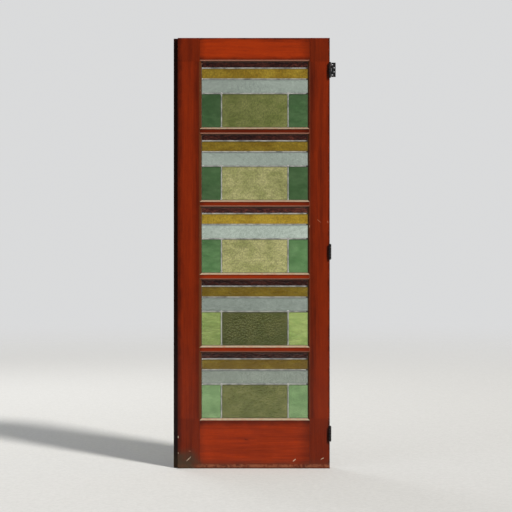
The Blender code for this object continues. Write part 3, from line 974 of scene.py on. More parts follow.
def add_box(bm: bmesh.types.BMesh, low: Iterable[float], high: Iterable[float]) -> None:
    """Add a box.

    Args:
        bm: the mesh that receives it.
        low: its lowest corner.
        high: its highest corner.
    """
    low, high = Vector(low), Vector(high)
    place = Matrix.Translation((low + high) / 2) @ Matrix.Diagonal((*(high - low), 1.0))
    bmesh.ops.create_cube(bm, size=1.0, matrix=place)


def add_upright_grid(
    bm: bmesh.types.BMesh, middle: Vector, size: Point, columns: int = 1, rows: int = 1,
) -> None:
    """Add a flat grid of faces that stands square on to the front.

    Args:
        bm: the mesh that receives it.
        middle: its middle.
        size: its width and height.
        columns: the number of faces across it.
        rows: the number of faces up it.
    """
    turn = Matrix.Rotation(math.radians(90), 4, "X")
    grow = Matrix.Diagonal((*size, 1.0, 1.0))
    bmesh.ops.create_grid(
        bm, x_segments=columns, y_segments=rows, size=0.5,
        matrix=Matrix.Translation(middle) @ turn @ grow)


def in_scene(name: str, data: bpy.types.ID) -> bpy.types.Object:
    """Make an object and put it in the scene.

    Args:
        name: the object's name.
        data: its mesh, light or camera.

    Returns:
        The object.
    """
    made = bpy.data.objects.new(name, data)
    bpy.context.scene.collection.objects.link(made)
    return made


def keep_flats_flat(mesh: bpy.types.Mesh, crease: float) -> None:
    """Shade a mesh smooth with its large flat faces left flat, by weighting normals with area.

    Args:
        mesh: the finished mesh.
        crease: the angle in degrees above which an edge stays sharp.
    """
    limit = math.cos(math.radians(crease))
    around = [[] for _ in mesh.vertices]
    for face in mesh.polygons:
        for vertex in face.vertices:
            around[vertex].append(face.index)
    weighted = [face.normal * face.area for face in mesh.polygons]
    normals = [Vector(face.normal) for face in mesh.polygons]
    corners = []
    for face in mesh.polygons:
        own = normals[face.index]
        for vertex in face.vertices:
            total = Vector()
            for other in around[vertex]:
                if normals[other].dot(own) > limit:
                    total += weighted[other]
            corners.append(total.normalized() if total.length > 0.0 else own)
    mesh.normals_split_custom_set(corners)


def make_piece(
    name: str, bm: bmesh.types.BMesh, material: bpy.types.Material, body: str,
    replaces: tuple[str, ...] = (), crease: float = 40.0, flat: bool = False,
) -> bpy.types.Object:
    """Turn a bmesh into a finished piece of the door.

    Args:
        name: the piece's name.
        bm: its mesh, in the model's metres; it is freed.
        material: its finish.
        body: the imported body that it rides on.
        replaces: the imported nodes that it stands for.
        crease: the angle in degrees above which an edge stays sharp.
        flat: True where large flat faces meet rounded edges.

    Returns:
        The object.
    """
    mesh = bpy.data.meshes.new(name)
    bm.to_mesh(mesh)
    bm.free()
    mesh.materials.append(material)
    mesh.shade_smooth()
    mesh.set_sharp_from_angle(angle=math.radians(crease))
    if flat:
        keep_flats_flat(mesh, crease)
    piece = in_scene(name, mesh)
    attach(piece, body)
    if replaces:
        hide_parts(*replaces)
    triangles = sum(len(face.vertices) - 2 for face in mesh.polygons)
    LOG.info("%s: %d triangles on %s", name, triangles, body)
    return piece


def carved_mesh(base: bmesh.types.BMesh, steps: list[tuple[str, bmesh.types.BMesh]]) -> bpy.types.Mesh:
    """Join and cut solids.

    Args:
        base: the solid that is worked on; it is freed.
        steps: ("UNION" or "DIFFERENCE", solid) pairs in order; the solids are freed.

    Returns:
        The worked mesh.
    """
    carriers = []
    for number, bm in enumerate([base, *(solid for _, solid in steps)]):
        bmesh.ops.recalc_face_normals(bm, faces=bm.faces)
        mesh = bpy.data.meshes.new(f"carving_{number}")
        bm.to_mesh(mesh)
        bm.free()
        carriers.append(in_scene(mesh.name, mesh))
    body = carriers[0]
    for (operation, _), carrier in zip(steps, carriers[1:]):
        modifier = body.modifiers.new(carrier.name, "BOOLEAN")
        modifier.operation = operation
        modifier.solver = "EXACT"
        modifier.object = carrier
    depsgraph = bpy.context.evaluated_depsgraph_get()
    result = bpy.data.meshes.new_from_object(body.evaluated_get(depsgraph))
    for carrier in carriers:
        bpy.data.objects.remove(carrier, do_unlink=True)
    return result


def turned_solid(
    bm: bmesh.types.BMesh, profile: list[Point], matrix: Matrix, sides: int,
) -> None:
    """Turn a profile of (distance along x, radius) about x and add it to a bmesh.

    Args:
        bm: the mesh that receives the solid.
        profile: the outline from end to end; a radius of 0 closes an end.
        matrix: where the solid goes.
        sides: the number of sides.
    """
    verts = [bm.verts.new((along, radius, 0.0)) for along, radius in profile]
    edges = [bm.edges.new(pair) for pair in zip(verts, verts[1:])]
    bmesh.ops.spin(
        bm, geom=[*verts, *edges], cent=(0.0, 0.0, 0.0), axis=(1.0, 0.0, 0.0),
        angle=math.tau, steps=sides, use_merge=True)
    known = set(verts)
    grown = list(known)
    while grown:
        vert = grown.pop()
        for edge in vert.link_edges:
            other = edge.other_vert(vert)
            if other not in known:
                known.add(other)
                grown.append(other)
    bmesh.ops.remove_doubles(bm, verts=list(known), dist=1e-7)
    solid = [vert for vert in known if vert.is_valid]
    faces = list({face for vert in solid for face in vert.link_faces})
    bmesh.ops.recalc_face_normals(bm, faces=faces)
    bmesh.ops.transform(bm, matrix=matrix, verts=solid)


@dataclass
class Woodwork:
    """The stiles, rails and glazing bars, with rounded, uneven arrises."""

    arris_radius: float = 0.0014
    joint_radius: float = 0.0004
    pitch: float = 0.011
    face_wave: float = 0.00016
    arris_wear: float = 0.00055
    shortest_arris: float = 0.003
    bar_tones: tuple[float, ...] = (0.32, 0.58, 0.84, 0.76)

    def build(self) -> None:
        """Build and dress every member."""
        for seed, (node, finish) in enumerate(self._finishes().items()):
            bm = self._member(node, finish.grain, float(seed))
            make_piece(
                f"wood_{node}", bm, finish.build(), "door", (node,), flat=True)

    def _finishes(self) -> dict[str, VarnishedWood]:
        """Choose the timber of each member.

        Returns:
            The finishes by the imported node's name, in the order of building.
        """
        marks = FrontMarks()
        members = {
            "stile_closing": VarnishedWood(
                "closing_stile_wood", Grain.UPRIGHT, tone=0.56, shift=(0.0, 0.0, 0.0),
                edges=(LEFT_ARRIS, FAR), shade=(0.028, 0.034), marks=marks.closing_stile()),
            "stile_hinge": VarnishedWood(
                "hinge_stile_wood", Grain.UPRIGHT, tone=0.57, shift=(1.3, 0.4, 0.2),
                edges=(-FAR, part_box("stile_hinge")[1].x), shade=(0.035, 0.011),
                marks=marks.hinge_stile()),
            "rail_top": VarnishedWood(
                "top_rail_wood", Grain.LEVEL, tone=0.88, shift=(0.2, 0.9, 0.5),
                edges=(LINTEL + MOULDING_WIDTH, HEAD), shade=(0.022, 0.009)),
            "rail_bottom": VarnishedWood(
                "bottom_rail_wood", Grain.LEVEL, tone=0.95, shift=(0.6, 0.1, 0.9),
                edges=(FOOT, SILL - MOULDING_WIDTH), shade=(0.040, 0.046), edge_tone=0.34,
                marks=marks.bottom_rail()),
        }
        # The glazing bars, darker along their upper edge
        for number, tone in enumerate(self.bar_tones, start=1):
            low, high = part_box(f"glazing_bar_{number}")
            members[f"glazing_bar_{number}"] = VarnishedWood(
                f"bar_{number}_wood", Grain.LEVEL, tone, (0.3 * number, 0.7, 0.2 * number),
                edges=(low.z + MOULDING_WIDTH, high.z - MOULDING_WIDTH), shade=(0.002, 0.009),
                edge_tone=0.40)
        return members

    def _member(self, node: str, grain: Grain, seed: float) -> bmesh.types.BMesh:
        """Round and wear one member.

        Args:
            node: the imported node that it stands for.
            grain: the way that its grain and its length run.
            seed: a number that sets its wear apart from the others'.

        Returns:
            Its mesh.
        """
        bm = merged_copy(node)
        layer = bm.faces.layers.float.new("arris")
        joints = [e for e in sharp_edges(bm) if self._is_joint(e)]
        round_edges(bm, joints, self.joint_radius, 1)
        arrises = [
            e for e in sharp_edges(bm)
            if not self._is_joint(e) and e.calc_length() > self.shortest_arris
        ]
        for face in round_edges(bm, arrises, self.arris_radius, 3):
            face[layer] = 1.0
        axis = 2 if grain is Grain.UPRIGHT else 0
        ends = [vert.co[axis] for vert in bm.verts]
        slice_across(bm, axis, steps_between(min(ends), max(ends), self.pitch))
        bm.normal_update()
        self._wear(bm, layer, seed)
        return bm

    @staticmethod
    def _is_joint(edge: bmesh.types.BMEdge) -> bool:
        """Tell a joint between two members from an open arris.

        Args:
            edge: a sharp edge of a member.

        Returns:
            True if the edge lies in a joint.
        """
        middle = (edge.verts[0].co + edge.verts[1].co) / 2
        along = (edge.verts[0].co - edge.verts[1].co).normalized()
        near, slanting = 0.0012, 0.3
        beside = min(abs(middle.x - LIGHT_LEFT), abs(middle.x - LIGHT_RIGHT)) < near
        mitre = abs(along.x) > slanting and abs(along.z) > slanting
        reveal = abs(along.y) > 0.5 and LIGHT_LEFT < middle.x < LIGHT_RIGHT
        return mitre or reveal or (beside and not Woodwork._beside_light(middle.z, abs(along.z)))

    @staticmethod
    def _beside_light(height: float, upright: float) -> bool:
        """Tell whether an edge on a stile runs beside a light.

        Args:
            height: the height of the edge's middle.
            upright: how upright the edge is, from 0 to 1.

        Returns:
            True if it does.
        """
        past = 0.002
        lights = (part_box(f"came_{index}") for index in range(1, LIGHT_COUNT + 1))
        return upright > 0.9 and any(
            low.z - past < height < high.z + past for low, high in lights)

    def _wear(self, bm: bmesh.types.BMesh, layer: bmesh.types.BMLayerItem, seed: float) -> None:
        """Push the surface in a little, and the arrises more, by smooth noise.

        Args:
            bm: the member's mesh.
            layer: where the mesh stores which faces round an arris.
            seed: a number that sets its wear apart from the others'.
        """
        offset = Vector((seed * 7.3, seed * 3.1, seed * 5.7))
        for vert in bm.verts:
            share = sum(face[layer] for face in vert.link_faces) / max(1, len(vert.link_faces))
            wave = 0.5 + 0.5 * noise.noise(vert.co * 9.0 + offset)
            nibble = max(0.0, noise.noise(vert.co * 85.0 + offset) - 0.12) * 1.6
            soft = 0.5 + 0.5 * noise.noise(vert.co * 22.0 - offset)
            depth = self.face_wave * wave + self.arris_wear * share * (0.25 * soft + nibble)
            vert.co -= vert.normal * depth


@dataclass
class LeadedLight:
    """One leaded light: lead, solder, putty and six panes."""

    index: int
    lead: bpy.types.Material
    solder: bpy.types.Material
    putty: bpy.types.Material
    glasses: dict[str, bpy.types.Material]
    rollings: dict[str, Rolling]
    flange_radius: float = 0.00085
    crown: float = 0.00080
    wobble: float = 0.00028
    wobble_scale: float = 17.0
    lead_pitch: float = 0.008
    straight_rim: float = 0.004
    pane_pitch: float = 0.0020
    solder_radius: float = 0.0062
    solder_height: float = 0.00042
    edge_joint: float = 0.7
    putty_width: float = 0.0014
    putty_pitch: float = 0.010
    putty_bedding: float = 0.00005
    putty_edge: float = 0.0003
    putty_setback: float = 0.0004
    putty_waver: float = 0.0002
    dirt_reach: float = 0.0020
    shadow_reach: float = 0.0022

    def __post_init__(self) -> None:
        """Read the light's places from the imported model."""
        self.low, self.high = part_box(f"came_{self.index}")
        self.boxes = {name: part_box(f"glass_{self.index}_{name}") for name in self.glasses}
        inset = Vector((REBATE_WIDTH - GAP, 0.0, REBATE_WIDTH - GAP))
        self.sight_low, self.sight_high = self.low + inset, self.high - inset
        self.level_leads = [
            (self.boxes[upper][0].z + self.boxes[lower][1].z) / 2
            for upper, lower in (("purple", "amber"), ("amber", "white"), ("white", "centre"))
        ]
        self.upright_leads = [
            (self.boxes[left][1].x + self.boxes[right][0].x) / 2
            for left, right in (("green_left", "centre"), ("centre", "green_right"))
        ]

    def build(self) -> None:
        """Build and dress the light."""
        self._build_lead()
        self._build_solder()
        self._build_putty()
        for name in self.glasses:
            self._build_pane(name)

    def _build_lead(self) -> None:
        """Build the lead lattice, with rounded flanges, a crown and a hand-drawn waver."""
        bm = merged_copy(f"came_{self.index}")
        near, shortest = 0.0001, 0.005
        rims = [
            edge for edge in sharp_edges(bm)
            if all(self._on_flange(v.co, near) for v in edge.verts) and edge.calc_length() > shortest
        ]
        round_edges(bm, rims, self.flange_radius, 3)
        columns = steps_between(self.low.x, self.high.x, self.lead_pitch)
        rows = steps_between(self.low.z, self.high.z, self.lead_pitch)
        slice_across(bm, 0, columns + self.upright_leads)
        slice_across(bm, 2, rows + self.level_leads)
        seed = Vector((self.index * 4.1, 0.0, self.index * 2.3))
        for vert in bm.verts:
            inner = min(1.0, max(0.0, self._rim_distance(vert.co) / self.straight_rim))
            if self._lead_distance(vert.co) < near and self._on_flange(vert.co, 2 * near):
                outward = -1.0 if vert.co.y < (self.low.y + self.high.y) / 2 else 1.0
                vert.co.y += outward * self.crown * inner
            flat = Vector((vert.co.x, 0.0, vert.co.z))
            vert.co.x += self.wobble * inner * noise.noise(flat * self.wobble_scale + seed)
            vert.co.z += self.wobble * inner * noise.noise(flat * self.wobble_scale - seed)
        make_piece(
            f"lead_{self.index}", bm, self.lead, "door", (f"came_{self.index}",), crease=55.0,
            flat=True)

    def _on_flange(self, place: Vector, near: float) -> bool:
        """True if a place lies near the outer face of either flange of the lead."""
        return place.y < self.low.y + near or place.y > self.high.y - near

    def _lead_distance(self, place: Vector) -> float:
        """Measure how far a place is from the middle of the nearest lead.

        Args:
            place: a place in the light.

        Returns:
            The distance in metres; the upright leads count below the third level one only.
        """
        distances = [abs(place.z - lead) for lead in self.level_leads]
        if place.z < self.level_leads[2]:
            distances += [abs(place.x - lead) for lead in self.upright_leads]
        return min(distances)

    def _solder_places(self) -> list[Triple]:
        """List the soldered joints.

        Returns:
            The middle, as x and z, and the size of each joint.
        """
        edge = self.solder_radius * 0.8
        left, right = self.sight_low.x + edge, self.sight_high.x - edge
        places = [(x, self.level_leads[2], 1.0) for x in self.upright_leads]
        places += [(x, z, self.edge_joint) for z in self.level_leads for x in (left, right)]
        places += [(x, self.sight_low.z + edge, self.edge_joint) for x in self.upright_leads]
        return places

    def _build_solder(self) -> None:
        """Run flattened, uneven blobs of solder over both sides of every joint."""
        bm = bmesh.new()
        for number, (x, z, size) in enumerate(self._solder_places()):
            for face_y in (self.low.y, self.high.y):
                blob = bmesh.ops.create_icosphere(bm, subdivisions=4, radius=1.0)["verts"]
                offset = Vector((number * 3.7 + self.index, face_y * 900.0, 0.0))
                reach = self.solder_radius * size * (1.0 + 0.25 * noise.noise(offset))
                for vert in blob:
                    swell = 1.0 + 0.30 * noise.noise(vert.co * 1.1 + offset)
                    lump = 1.0 + 0.45 * noise.noise(vert.co * 2.3 - offset)
                    vert.co = Vector((
                        x + vert.co.x * swell * reach,
                        face_y + vert.co.y * self.solder_height * lump,
                        z + vert.co.z * swell * reach * 0.85,
                    ))
        make_piece(f"solder_{self.index}", bm, self.solder, "door", crease=180.0)

    def _build_putty(self) -> None:
        """Lay a thin uneven fillet of putty between the moulding and the lead, all round."""
        bm = bmesh.new()
        size = self.sight_high - self.sight_low
        seat = self.low.y - self.putty_bedding
        front = FRONT + MOULDING_DEPTH + self.putty_setback
        add_upright_grid(
            bm, (self.sight_low + self.sight_high) / 2, (size.x - 2 * GAP, size.z - 2 * GAP))
        for vert in bm.verts:
            vert.co.y = seat
        face = bm.faces[:]
        bmesh.ops.inset_region(
            bm, faces=face, thickness=self.putty_width, use_even_offset=True, use_boundary=True)
        bmesh.ops.delete(bm, geom=face, context="FACES_ONLY")
        slice_across(bm, 0, steps_between(self.sight_low.x, self.sight_high.x, self.putty_pitch))
        slice_across(bm, 2, steps_between(self.sight_low.z, self.sight_high.z, self.putty_pitch))
        fresh = bmesh.ops.extrude_face_region(bm, geom=bm.faces[:])["geom"]
        for vert in (item for item in fresh if isinstance(item, bmesh.types.BMVert)):
            is_outer = self._rim_distance(vert.co) < self.putty_width / 2
            vert.co.y = front if is_outer else seat - self.putty_edge
        bmesh.ops.recalc_face_normals(bm, faces=bm.faces)
        for vert in bm.verts:
            if self._rim_distance(vert.co) > self.putty_width / 2:
                vert.co.y += self.putty_waver * noise.noise(vert.co * 130.0)
        make_piece(f"putty_{self.index}", bm, self.putty, "door")

    def _rim_distance(self, place: Vector) -> float:
        """Distance of a place in the light from the nearest sight edge."""
        return min(
            place.x - self.sight_low.x, self.sight_high.x - place.x,
            place.z - self.sight_low.z, self.sight_high.z - place.z)

    def _build_pane(self, name: str) -> None:
        """Build a pane, flat behind and rolled in front, and store what its finish reads.

        Args:
            name: the pane's name in its light.
        """
        low, high = self.boxes[name]
        size = high - low
        bite = (CAME_FACE - CAME_HEART) / 2 - GAP
        rolling = self.rollings[name]
        bm = bmesh.new()
        thin = bm.verts.layers.float.new("thin")
        rim = bm.verts.layers.float.new("rim")
        middle = Vector(((low.x + high.x) / 2, low.y, (low.z + high.z) / 2))
        columns, rows = math.ceil(size.x / self.pane_pitch), math.ceil(size.z / self.pane_pitch)
        add_upright_grid(bm, middle, (size.x, size.z), columns, rows)
        rolled = bm.verts[:]
        for face in bm.faces:
            if face.normal.y > 0:
                face.normal_flip()
        fresh = bmesh.ops.extrude_face_region(bm, geom=bm.faces[:])["geom"]
        back_faces = [item for item in fresh if isinstance(item, bmesh.types.BMFace)]
        for item in fresh:
            if isinstance(item, bmesh.types.BMVert):
                item.co.y = high.y
        bmesh.ops.dissolve_faces(bm, faces=back_faces, use_verts=False)
        seed = self.index * 11.3 + len(name) * 2.7
        depth = rolling.value[1]
        for vert in rolled:
            height = rolling.height(vert.co.x, vert.co.z, seed)
            edge = min(vert.co.x - low.x, high.x - vert.co.x, vert.co.z - low.z) - bite
            below_lead = high.z - vert.co.z - bite
            vert[thin] = 1.0 - height
            dirt = 0.6 * math.exp(-max(0.0, edge) / self.dirt_reach)
            shadow = 1.5 * math.exp(-max(0.0, below_lead) / self.shadow_reach)
            vert[rim] = max(dirt, min(1.0, shadow))
            vert.co.y += depth * (1.0 - height)
        bmesh.ops.recalc_face_normals(bm, faces=bm.faces)
        node = f"glass_{self.index}_{name}"
        make_piece(f"pane_{self.index}_{name}", bm, self.glasses[name], "door", (node,))


@dataclass
class GlazingBeads:
    """Four mitred beads behind one light, held by panel pins."""

    index: int
    wood: bpy.types.Material
    metal: bpy.types.Material
    arris_radius: float = 0.0006
    mitre_gap: float = 0.00012
    pin_pitch: float = 0.14
    bead_pitch: float = 0.02
    pin_radius: float = 0.0011
    pin_height: float = 0.0005
    pin_sunk: float = 0.0001

    def __post_init__(self) -> None:
        """Read the beads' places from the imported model."""
        self.low, self.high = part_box(f"bead_{self.index}")
        self.half_depth = (self.high.y - self.low.y) / 2

    def build(self) -> None:
        """Build and dress the beads and their pins."""
        beads, pins = bmesh.new(), bmesh.new()
        beads.faces.layers.float.new("arris")
        beads.loops.layers.uv.new("grain")
        for side in range(4):
            self._add_bead(beads, side)
            self._add_pins(pins, side)
        make_piece(
            f"beads_{self.index}", beads, self.wood, "door",
            (f"bead_{self.index}",), flat=True)
        make_piece(f"bead_pins_{self.index}", pins, self.metal, "door")

    def _turned(self, side: int) -> tuple[Matrix, float, float]:
        """Work out where a side goes.

        Args:
            side: 0 and 2 are level, 1 and 3 are upright.

        Returns:
            A matrix that turns a bead from below the middle to its side, its length and its
            distance from the middle.
        """
        size = self.high - self.low
        length, reach = (size.x, size.z / 2) if side % 2 == 0 else (size.z, size.x / 2)
        middle = (self.low + self.high) / 2
        turn = Matrix.Rotation(math.radians(90) * side, 4, "Y")
        return Matrix.Translation(middle) @ turn, length, reach

    def _add_bead(self, beads: bmesh.types.BMesh, side: int) -> None:
        """Add one bead, chamfered towards the room and mitred at both ends.

        Args:
            beads: the mesh that receives it.
            side: the side that it lies along, as in _turned.
        """
        matrix, length, reach = self._turned(side)
        width = REBATE_WIDTH - GAP
        bm = bmesh.new()
        arris = bm.faces.layers.float.new("arris")
        uv = bm.loops.layers.uv.new("grain")
        add_box(
            bm, (-length / 2, -self.half_depth, -reach),
            (length / 2, self.half_depth, -reach + width))
        inner = [
            e for e in bm.edges
            if all(v.co.y > 0 and v.co.z > -reach + width / 2 for v in e.verts)
        ]
        bmesh.ops.bevel(
            bm, geom=inner, offset=BEAD_CHAMFER, offset_type="OFFSET", segments=1, profile=0.5,
            affect="EDGES", material=-1)
        for end in (-1.0, 1.0):
            corner = Vector((end * (length / 2 - self.mitre_gap), 0.0, -reach))
            normal = Vector((end, 0.0, 1.0)).normalized()
            cut = bmesh.ops.bisect_plane(
                bm, geom=[*bm.verts, *bm.edges, *bm.faces], dist=CUT_TOLERANCE, plane_co=corner,
                plane_no=normal, clear_outer=True)["geom_cut"]
            rim = [item for item in cut if isinstance(item, bmesh.types.BMEdge)]
            bmesh.ops.contextual_create(bm, geom=rim)
        bmesh.ops.recalc_face_normals(bm, faces=bm.faces)
        for face in round_edges(bm, sharp_edges(bm), self.arris_radius, 2):
            face[arris] = 1.0
        slice_across(bm, 0, steps_between(-length / 2, length / 2, self.bead_pitch))
        for face in bm.faces:
            for loop in face.loops:
                co = loop.vert.co
                loop[uv].uv = (co.x + side * 1.7 + self.index * 0.9, co.y + co.z)
        mesh = bpy.data.meshes.new("bead")
        bm.transform(matrix)
        bm.to_mesh(mesh)
        bm.free()
        beads.from_mesh(mesh)
        bpy.data.meshes.remove(mesh)

    def _add_pins(self, pins: bmesh.types.BMesh, side: int) -> None:
        """Add the heads of the panel pins along one side.

        Args:
            pins: the mesh that receives them.
            side: the side that they stand along, as in _turned.
        """
        matrix, length, reach = self._turned(side)
        face_width = REBATE_WIDTH - GAP - BEAD_CHAMFER
        count = max(2, round(length / self.pin_pitch))
        turn = Matrix.Rotation(math.radians(-90), 4, "X")
        for number in range(count):
            along = (number + 0.5) / count * length - length / 2
            place = Matrix.Translation(
                (along, self.half_depth - self.pin_sunk, -reach + face_width / 2))
            bmesh.ops.create_cone(
                pins, cap_ends=True, segments=16, radius1=self.pin_radius,
                radius2=self.pin_radius * 0.75, depth=self.pin_height,
                matrix=matrix @ place @ turn)


@dataclass
class ButtHinge:
    """One butt hinge: a leaf let into the door, a free leaf, a pin and four screws."""

    name: str
    steel: bpy.types.Material
    screws: bpy.types.Material
    swing: float = 0.0
    sides: int = 48
    hole_sides: int = 32
    edge_radius: float = 0.00022
    tip_height: float = 0.0035
    head_play: float = 0.00015
    slot_width: float = 0.0009
    slot_depth: float = 0.0009

    def __post_init__(self) -> None:
        """Read the hinge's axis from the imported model."""
        low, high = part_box(f"hinge_{self.name}_pin")
        self.axis = (low + high) / 2

    def build(self) -> None:
        """Build and dress the hinge."""
        self._build_leaf("door_leaf", -1, "door", 0.0)
        self._build_leaf("free_leaf", 1, f"leaf_{self.name}", -self.swing)
        self._build_pin()
        self._build_screws()

    def _placing(self, turn: float) -> Matrix:
        """Matrix from the hinge's own axis to its place on the door."""
        return Matrix.Translation(self.axis) @ Matrix.Rotation(turn, 4, "Z")

    def _build_leaf(self, kind: str, side: int, body: str, turn: float) -> None:
        """Build one leaf with its knuckles and countersunk holes.

        Args:
            kind: the node's kind of leaf.
            side: -1 for the leaf in the door, 1 for the free one.
            body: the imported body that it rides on.
            turn: how far it is swung about the pin.
        """
        half = HINGE_HEIGHT / 2
        pitch = HINGE_HEIGHT / KNUCKLE_COUNT
        inner, outer = side * LEAF_SPACING / 2, side * (LEAF_SPACING / 2 + LEAF_THICKNESS)
        plate, knuckles, gaps, bore = (bmesh.new() for _ in range(4))
        add_box(plate, (min(inner, outer), 0.0, -half), (max(inner, outer), HINGE_REACH, half))
        self._round(plate)
        clear = KNUCKLE_RADIUS + KNUCKLE_PLAY
        for number in range(KNUCKLE_COUNT):
            low = number * pitch - half
            first, last = number == 0, number == KNUCKLE_COUNT - 1
            if (number % 2 == 0) == (side < 0):
                start = low + (0.0 if first else KNUCKLE_PLAY / 2)
                end = low + pitch - (0.0 if last else KNUCKLE_PLAY / 2)
                self._add_rod(knuckles, KNUCKLE_RADIUS, start, end)
            else:
                start = low - (OVERSHOOT if first else KNUCKLE_PLAY / 2)
                end = low + pitch + (OVERSHOOT if last else KNUCKLE_PLAY / 2)
                add_box(gaps, (-clear, -clear, start), (clear, clear, end))
        self._round(knuckles)
        self._add_rod(bore, PIN_RADIUS + GAP, -half - OVERSHOOT, half + OVERSHOOT)
        holes = self._holes(side, inner, outer)
        mesh = carved_mesh(plate, [
            ("DIFFERENCE", gaps), ("UNION", knuckles), ("DIFFERENCE", bore), ("DIFFERENCE", holes)])
        bm = bmesh.new()
        bm.from_mesh(mesh)
        bpy.data.meshes.remove(mesh)
        bmesh.ops.remove_doubles(bm, verts=bm.verts, dist=2e-6)
        bmesh.ops.triangulate(bm, faces=bm.faces, quad_method="BEAUTY", ngon_method="BEAUTY")
        bm.transform(self._placing(turn))
        node = f"hinge_{self.name}_{kind}"
        make_piece(
            f"steel_{self.name}_{kind}", bm, self.steel, body, (node,),
            crease=35.0, flat=True)

    def _round(self, bm: bmesh.types.BMesh) -> None:
        """Round the sharp edges of plain solids and mark the rounding as rubbed.

        Args:
            bm: the solids' mesh.
        """
        layer = bm.faces.layers.float.new("arris")
        for face in round_edges(bm, sharp_edges(bm, 40.0), self.edge_radius, 2):
            face[layer] = 1.0

    def _add_rod(self, bm: bmesh.types.BMesh, radius: float, low: float, high: float) -> None:
        """Add an upright rod on the hinge's axis.

        Args:
            bm: the mesh that receives it.
            radius: the rod's radius.
            low: the height of its lower end.
            high: the height of its upper end.
        """
        bmesh.ops.create_cone(
            bm, cap_ends=True, segments=self.sides, radius1=radius, radius2=radius,
            depth=high - low, matrix=Matrix.Translation((0.0, 0.0, (low + high) / 2)))

    def _holes(self, side: int, inner: float, outer: float) -> bmesh.types.BMesh:
        """Make the cutters of the countersunk screw holes.

        Args:
            side: -1 for the leaf in the door, 1 for the free one.
            inner: where across the hinge the leaf's countersunk face lies.
            outer: where its other face lies.

        Returns:
            The cutters, each turned about an axis across the leaf.
        """
        past = OVERSHOOT / 2
        sink = SCREW_HEAD_RADIUS - SCREW_RADIUS
        profile = [
            (inner - side * past, 0.0), (inner - side * past, SCREW_HEAD_RADIUS + past),
            (inner + side * sink, SCREW_RADIUS), (outer + side * past, SCREW_RADIUS),
            (outer + side * past, 0.0),
        ]
        bm = bmesh.new()
        for reach, level in SCREW_PLACES:
            for sign in (-1.0, 1.0):
                place = Matrix.Translation((0.0, reach, sign * level))
                turned_solid(bm, profile, place, self.hole_sides)
        return bm

    def _build_pin(self) -> None:
        """Turn the pin, with a domed button at each end."""
        end = HINGE_HEIGHT / 2 + GAP
        ease = 0.0002
        quarter = [math.radians(90) * step / 8 for step in range(9)]
        dome = [
            (end + self.tip_height * (0.35 + 0.65 * math.cos(a)), PIN_TIP_RADIUS * math.sin(a) ** 0.8)
            for a in quarter
        ]
        collar = [(end + ease, PIN_TIP_RADIUS), (end, PIN_TIP_RADIUS - ease), (end, PIN_RADIUS)]
        upper = dome + collar
        profile = upper + [(-along, radius) for along, radius in reversed(upper)]
        bm = bmesh.new()
        upright = Matrix.Rotation(math.radians(-90), 4, "Y")
        turned_solid(bm, profile, self._placing(0.0) @ upright, self.sides)
        make_piece(
            f"steel_{self.name}_pin", bm, self.steel, "door",
            (f"hinge_{self.name}_pin",), crease=35.0)

    def _build_screws(self) -> None:
        """Build the slotted countersunk screws in the leaf that is let into the door."""
        inner = -LEAF_SPACING / 2
        tip = inner - LEAF_THICKNESS - GAP / 2
        head, shank = SCREW_HEAD_RADIUS - self.head_play, SCREW_RADIUS - 0.0001
        sink = head - SCREW_RADIUS + 0.0001
        profile = [
            (inner - 0.00008, 0.0), (inner - 0.00010, head * 0.6), (inner - 0.00016, head - 0.0001),
            (inner - 0.00026, head), (inner - sink - 0.0002, shank), (tip, shank), (tip, 0.0),
        ]
        slot_low = (inner - self.slot_depth, -self.slot_width / 2, -1.5 * SCREW_HEAD_RADIUS)
        slot_high = (inner + OVERSHOOT, self.slot_width / 2, 1.5 * SCREW_HEAD_RADIUS)
        whole = bmesh.new()
        places = [(reach, sign * level) for reach, level in SCREW_PLACES for sign in (-1.0, 1.0)]
        for number, (reach, level) in enumerate(places):
            body, slot = bmesh.new(), bmesh.new()
            turned_solid(body, profile, Matrix.Identity(4), self.hole_sides)
            add_box(slot, slot_low, slot_high)
            mesh = carved_mesh(body, [("DIFFERENCE", slot)])
            angle = math.radians(37.0 * number + 20.0 * len(self.name))
            turn = Matrix.Translation((0.0, reach, level)) @ Matrix.Rotation(angle, 4, "X")
            mesh.transform(self._placing(0.0) @ turn)
            whole.from_mesh(mesh)
            bpy.data.meshes.remove(mesh)
        make_piece(f"screws_{self.name}", whole, self.screws, "door", crease=35.0)


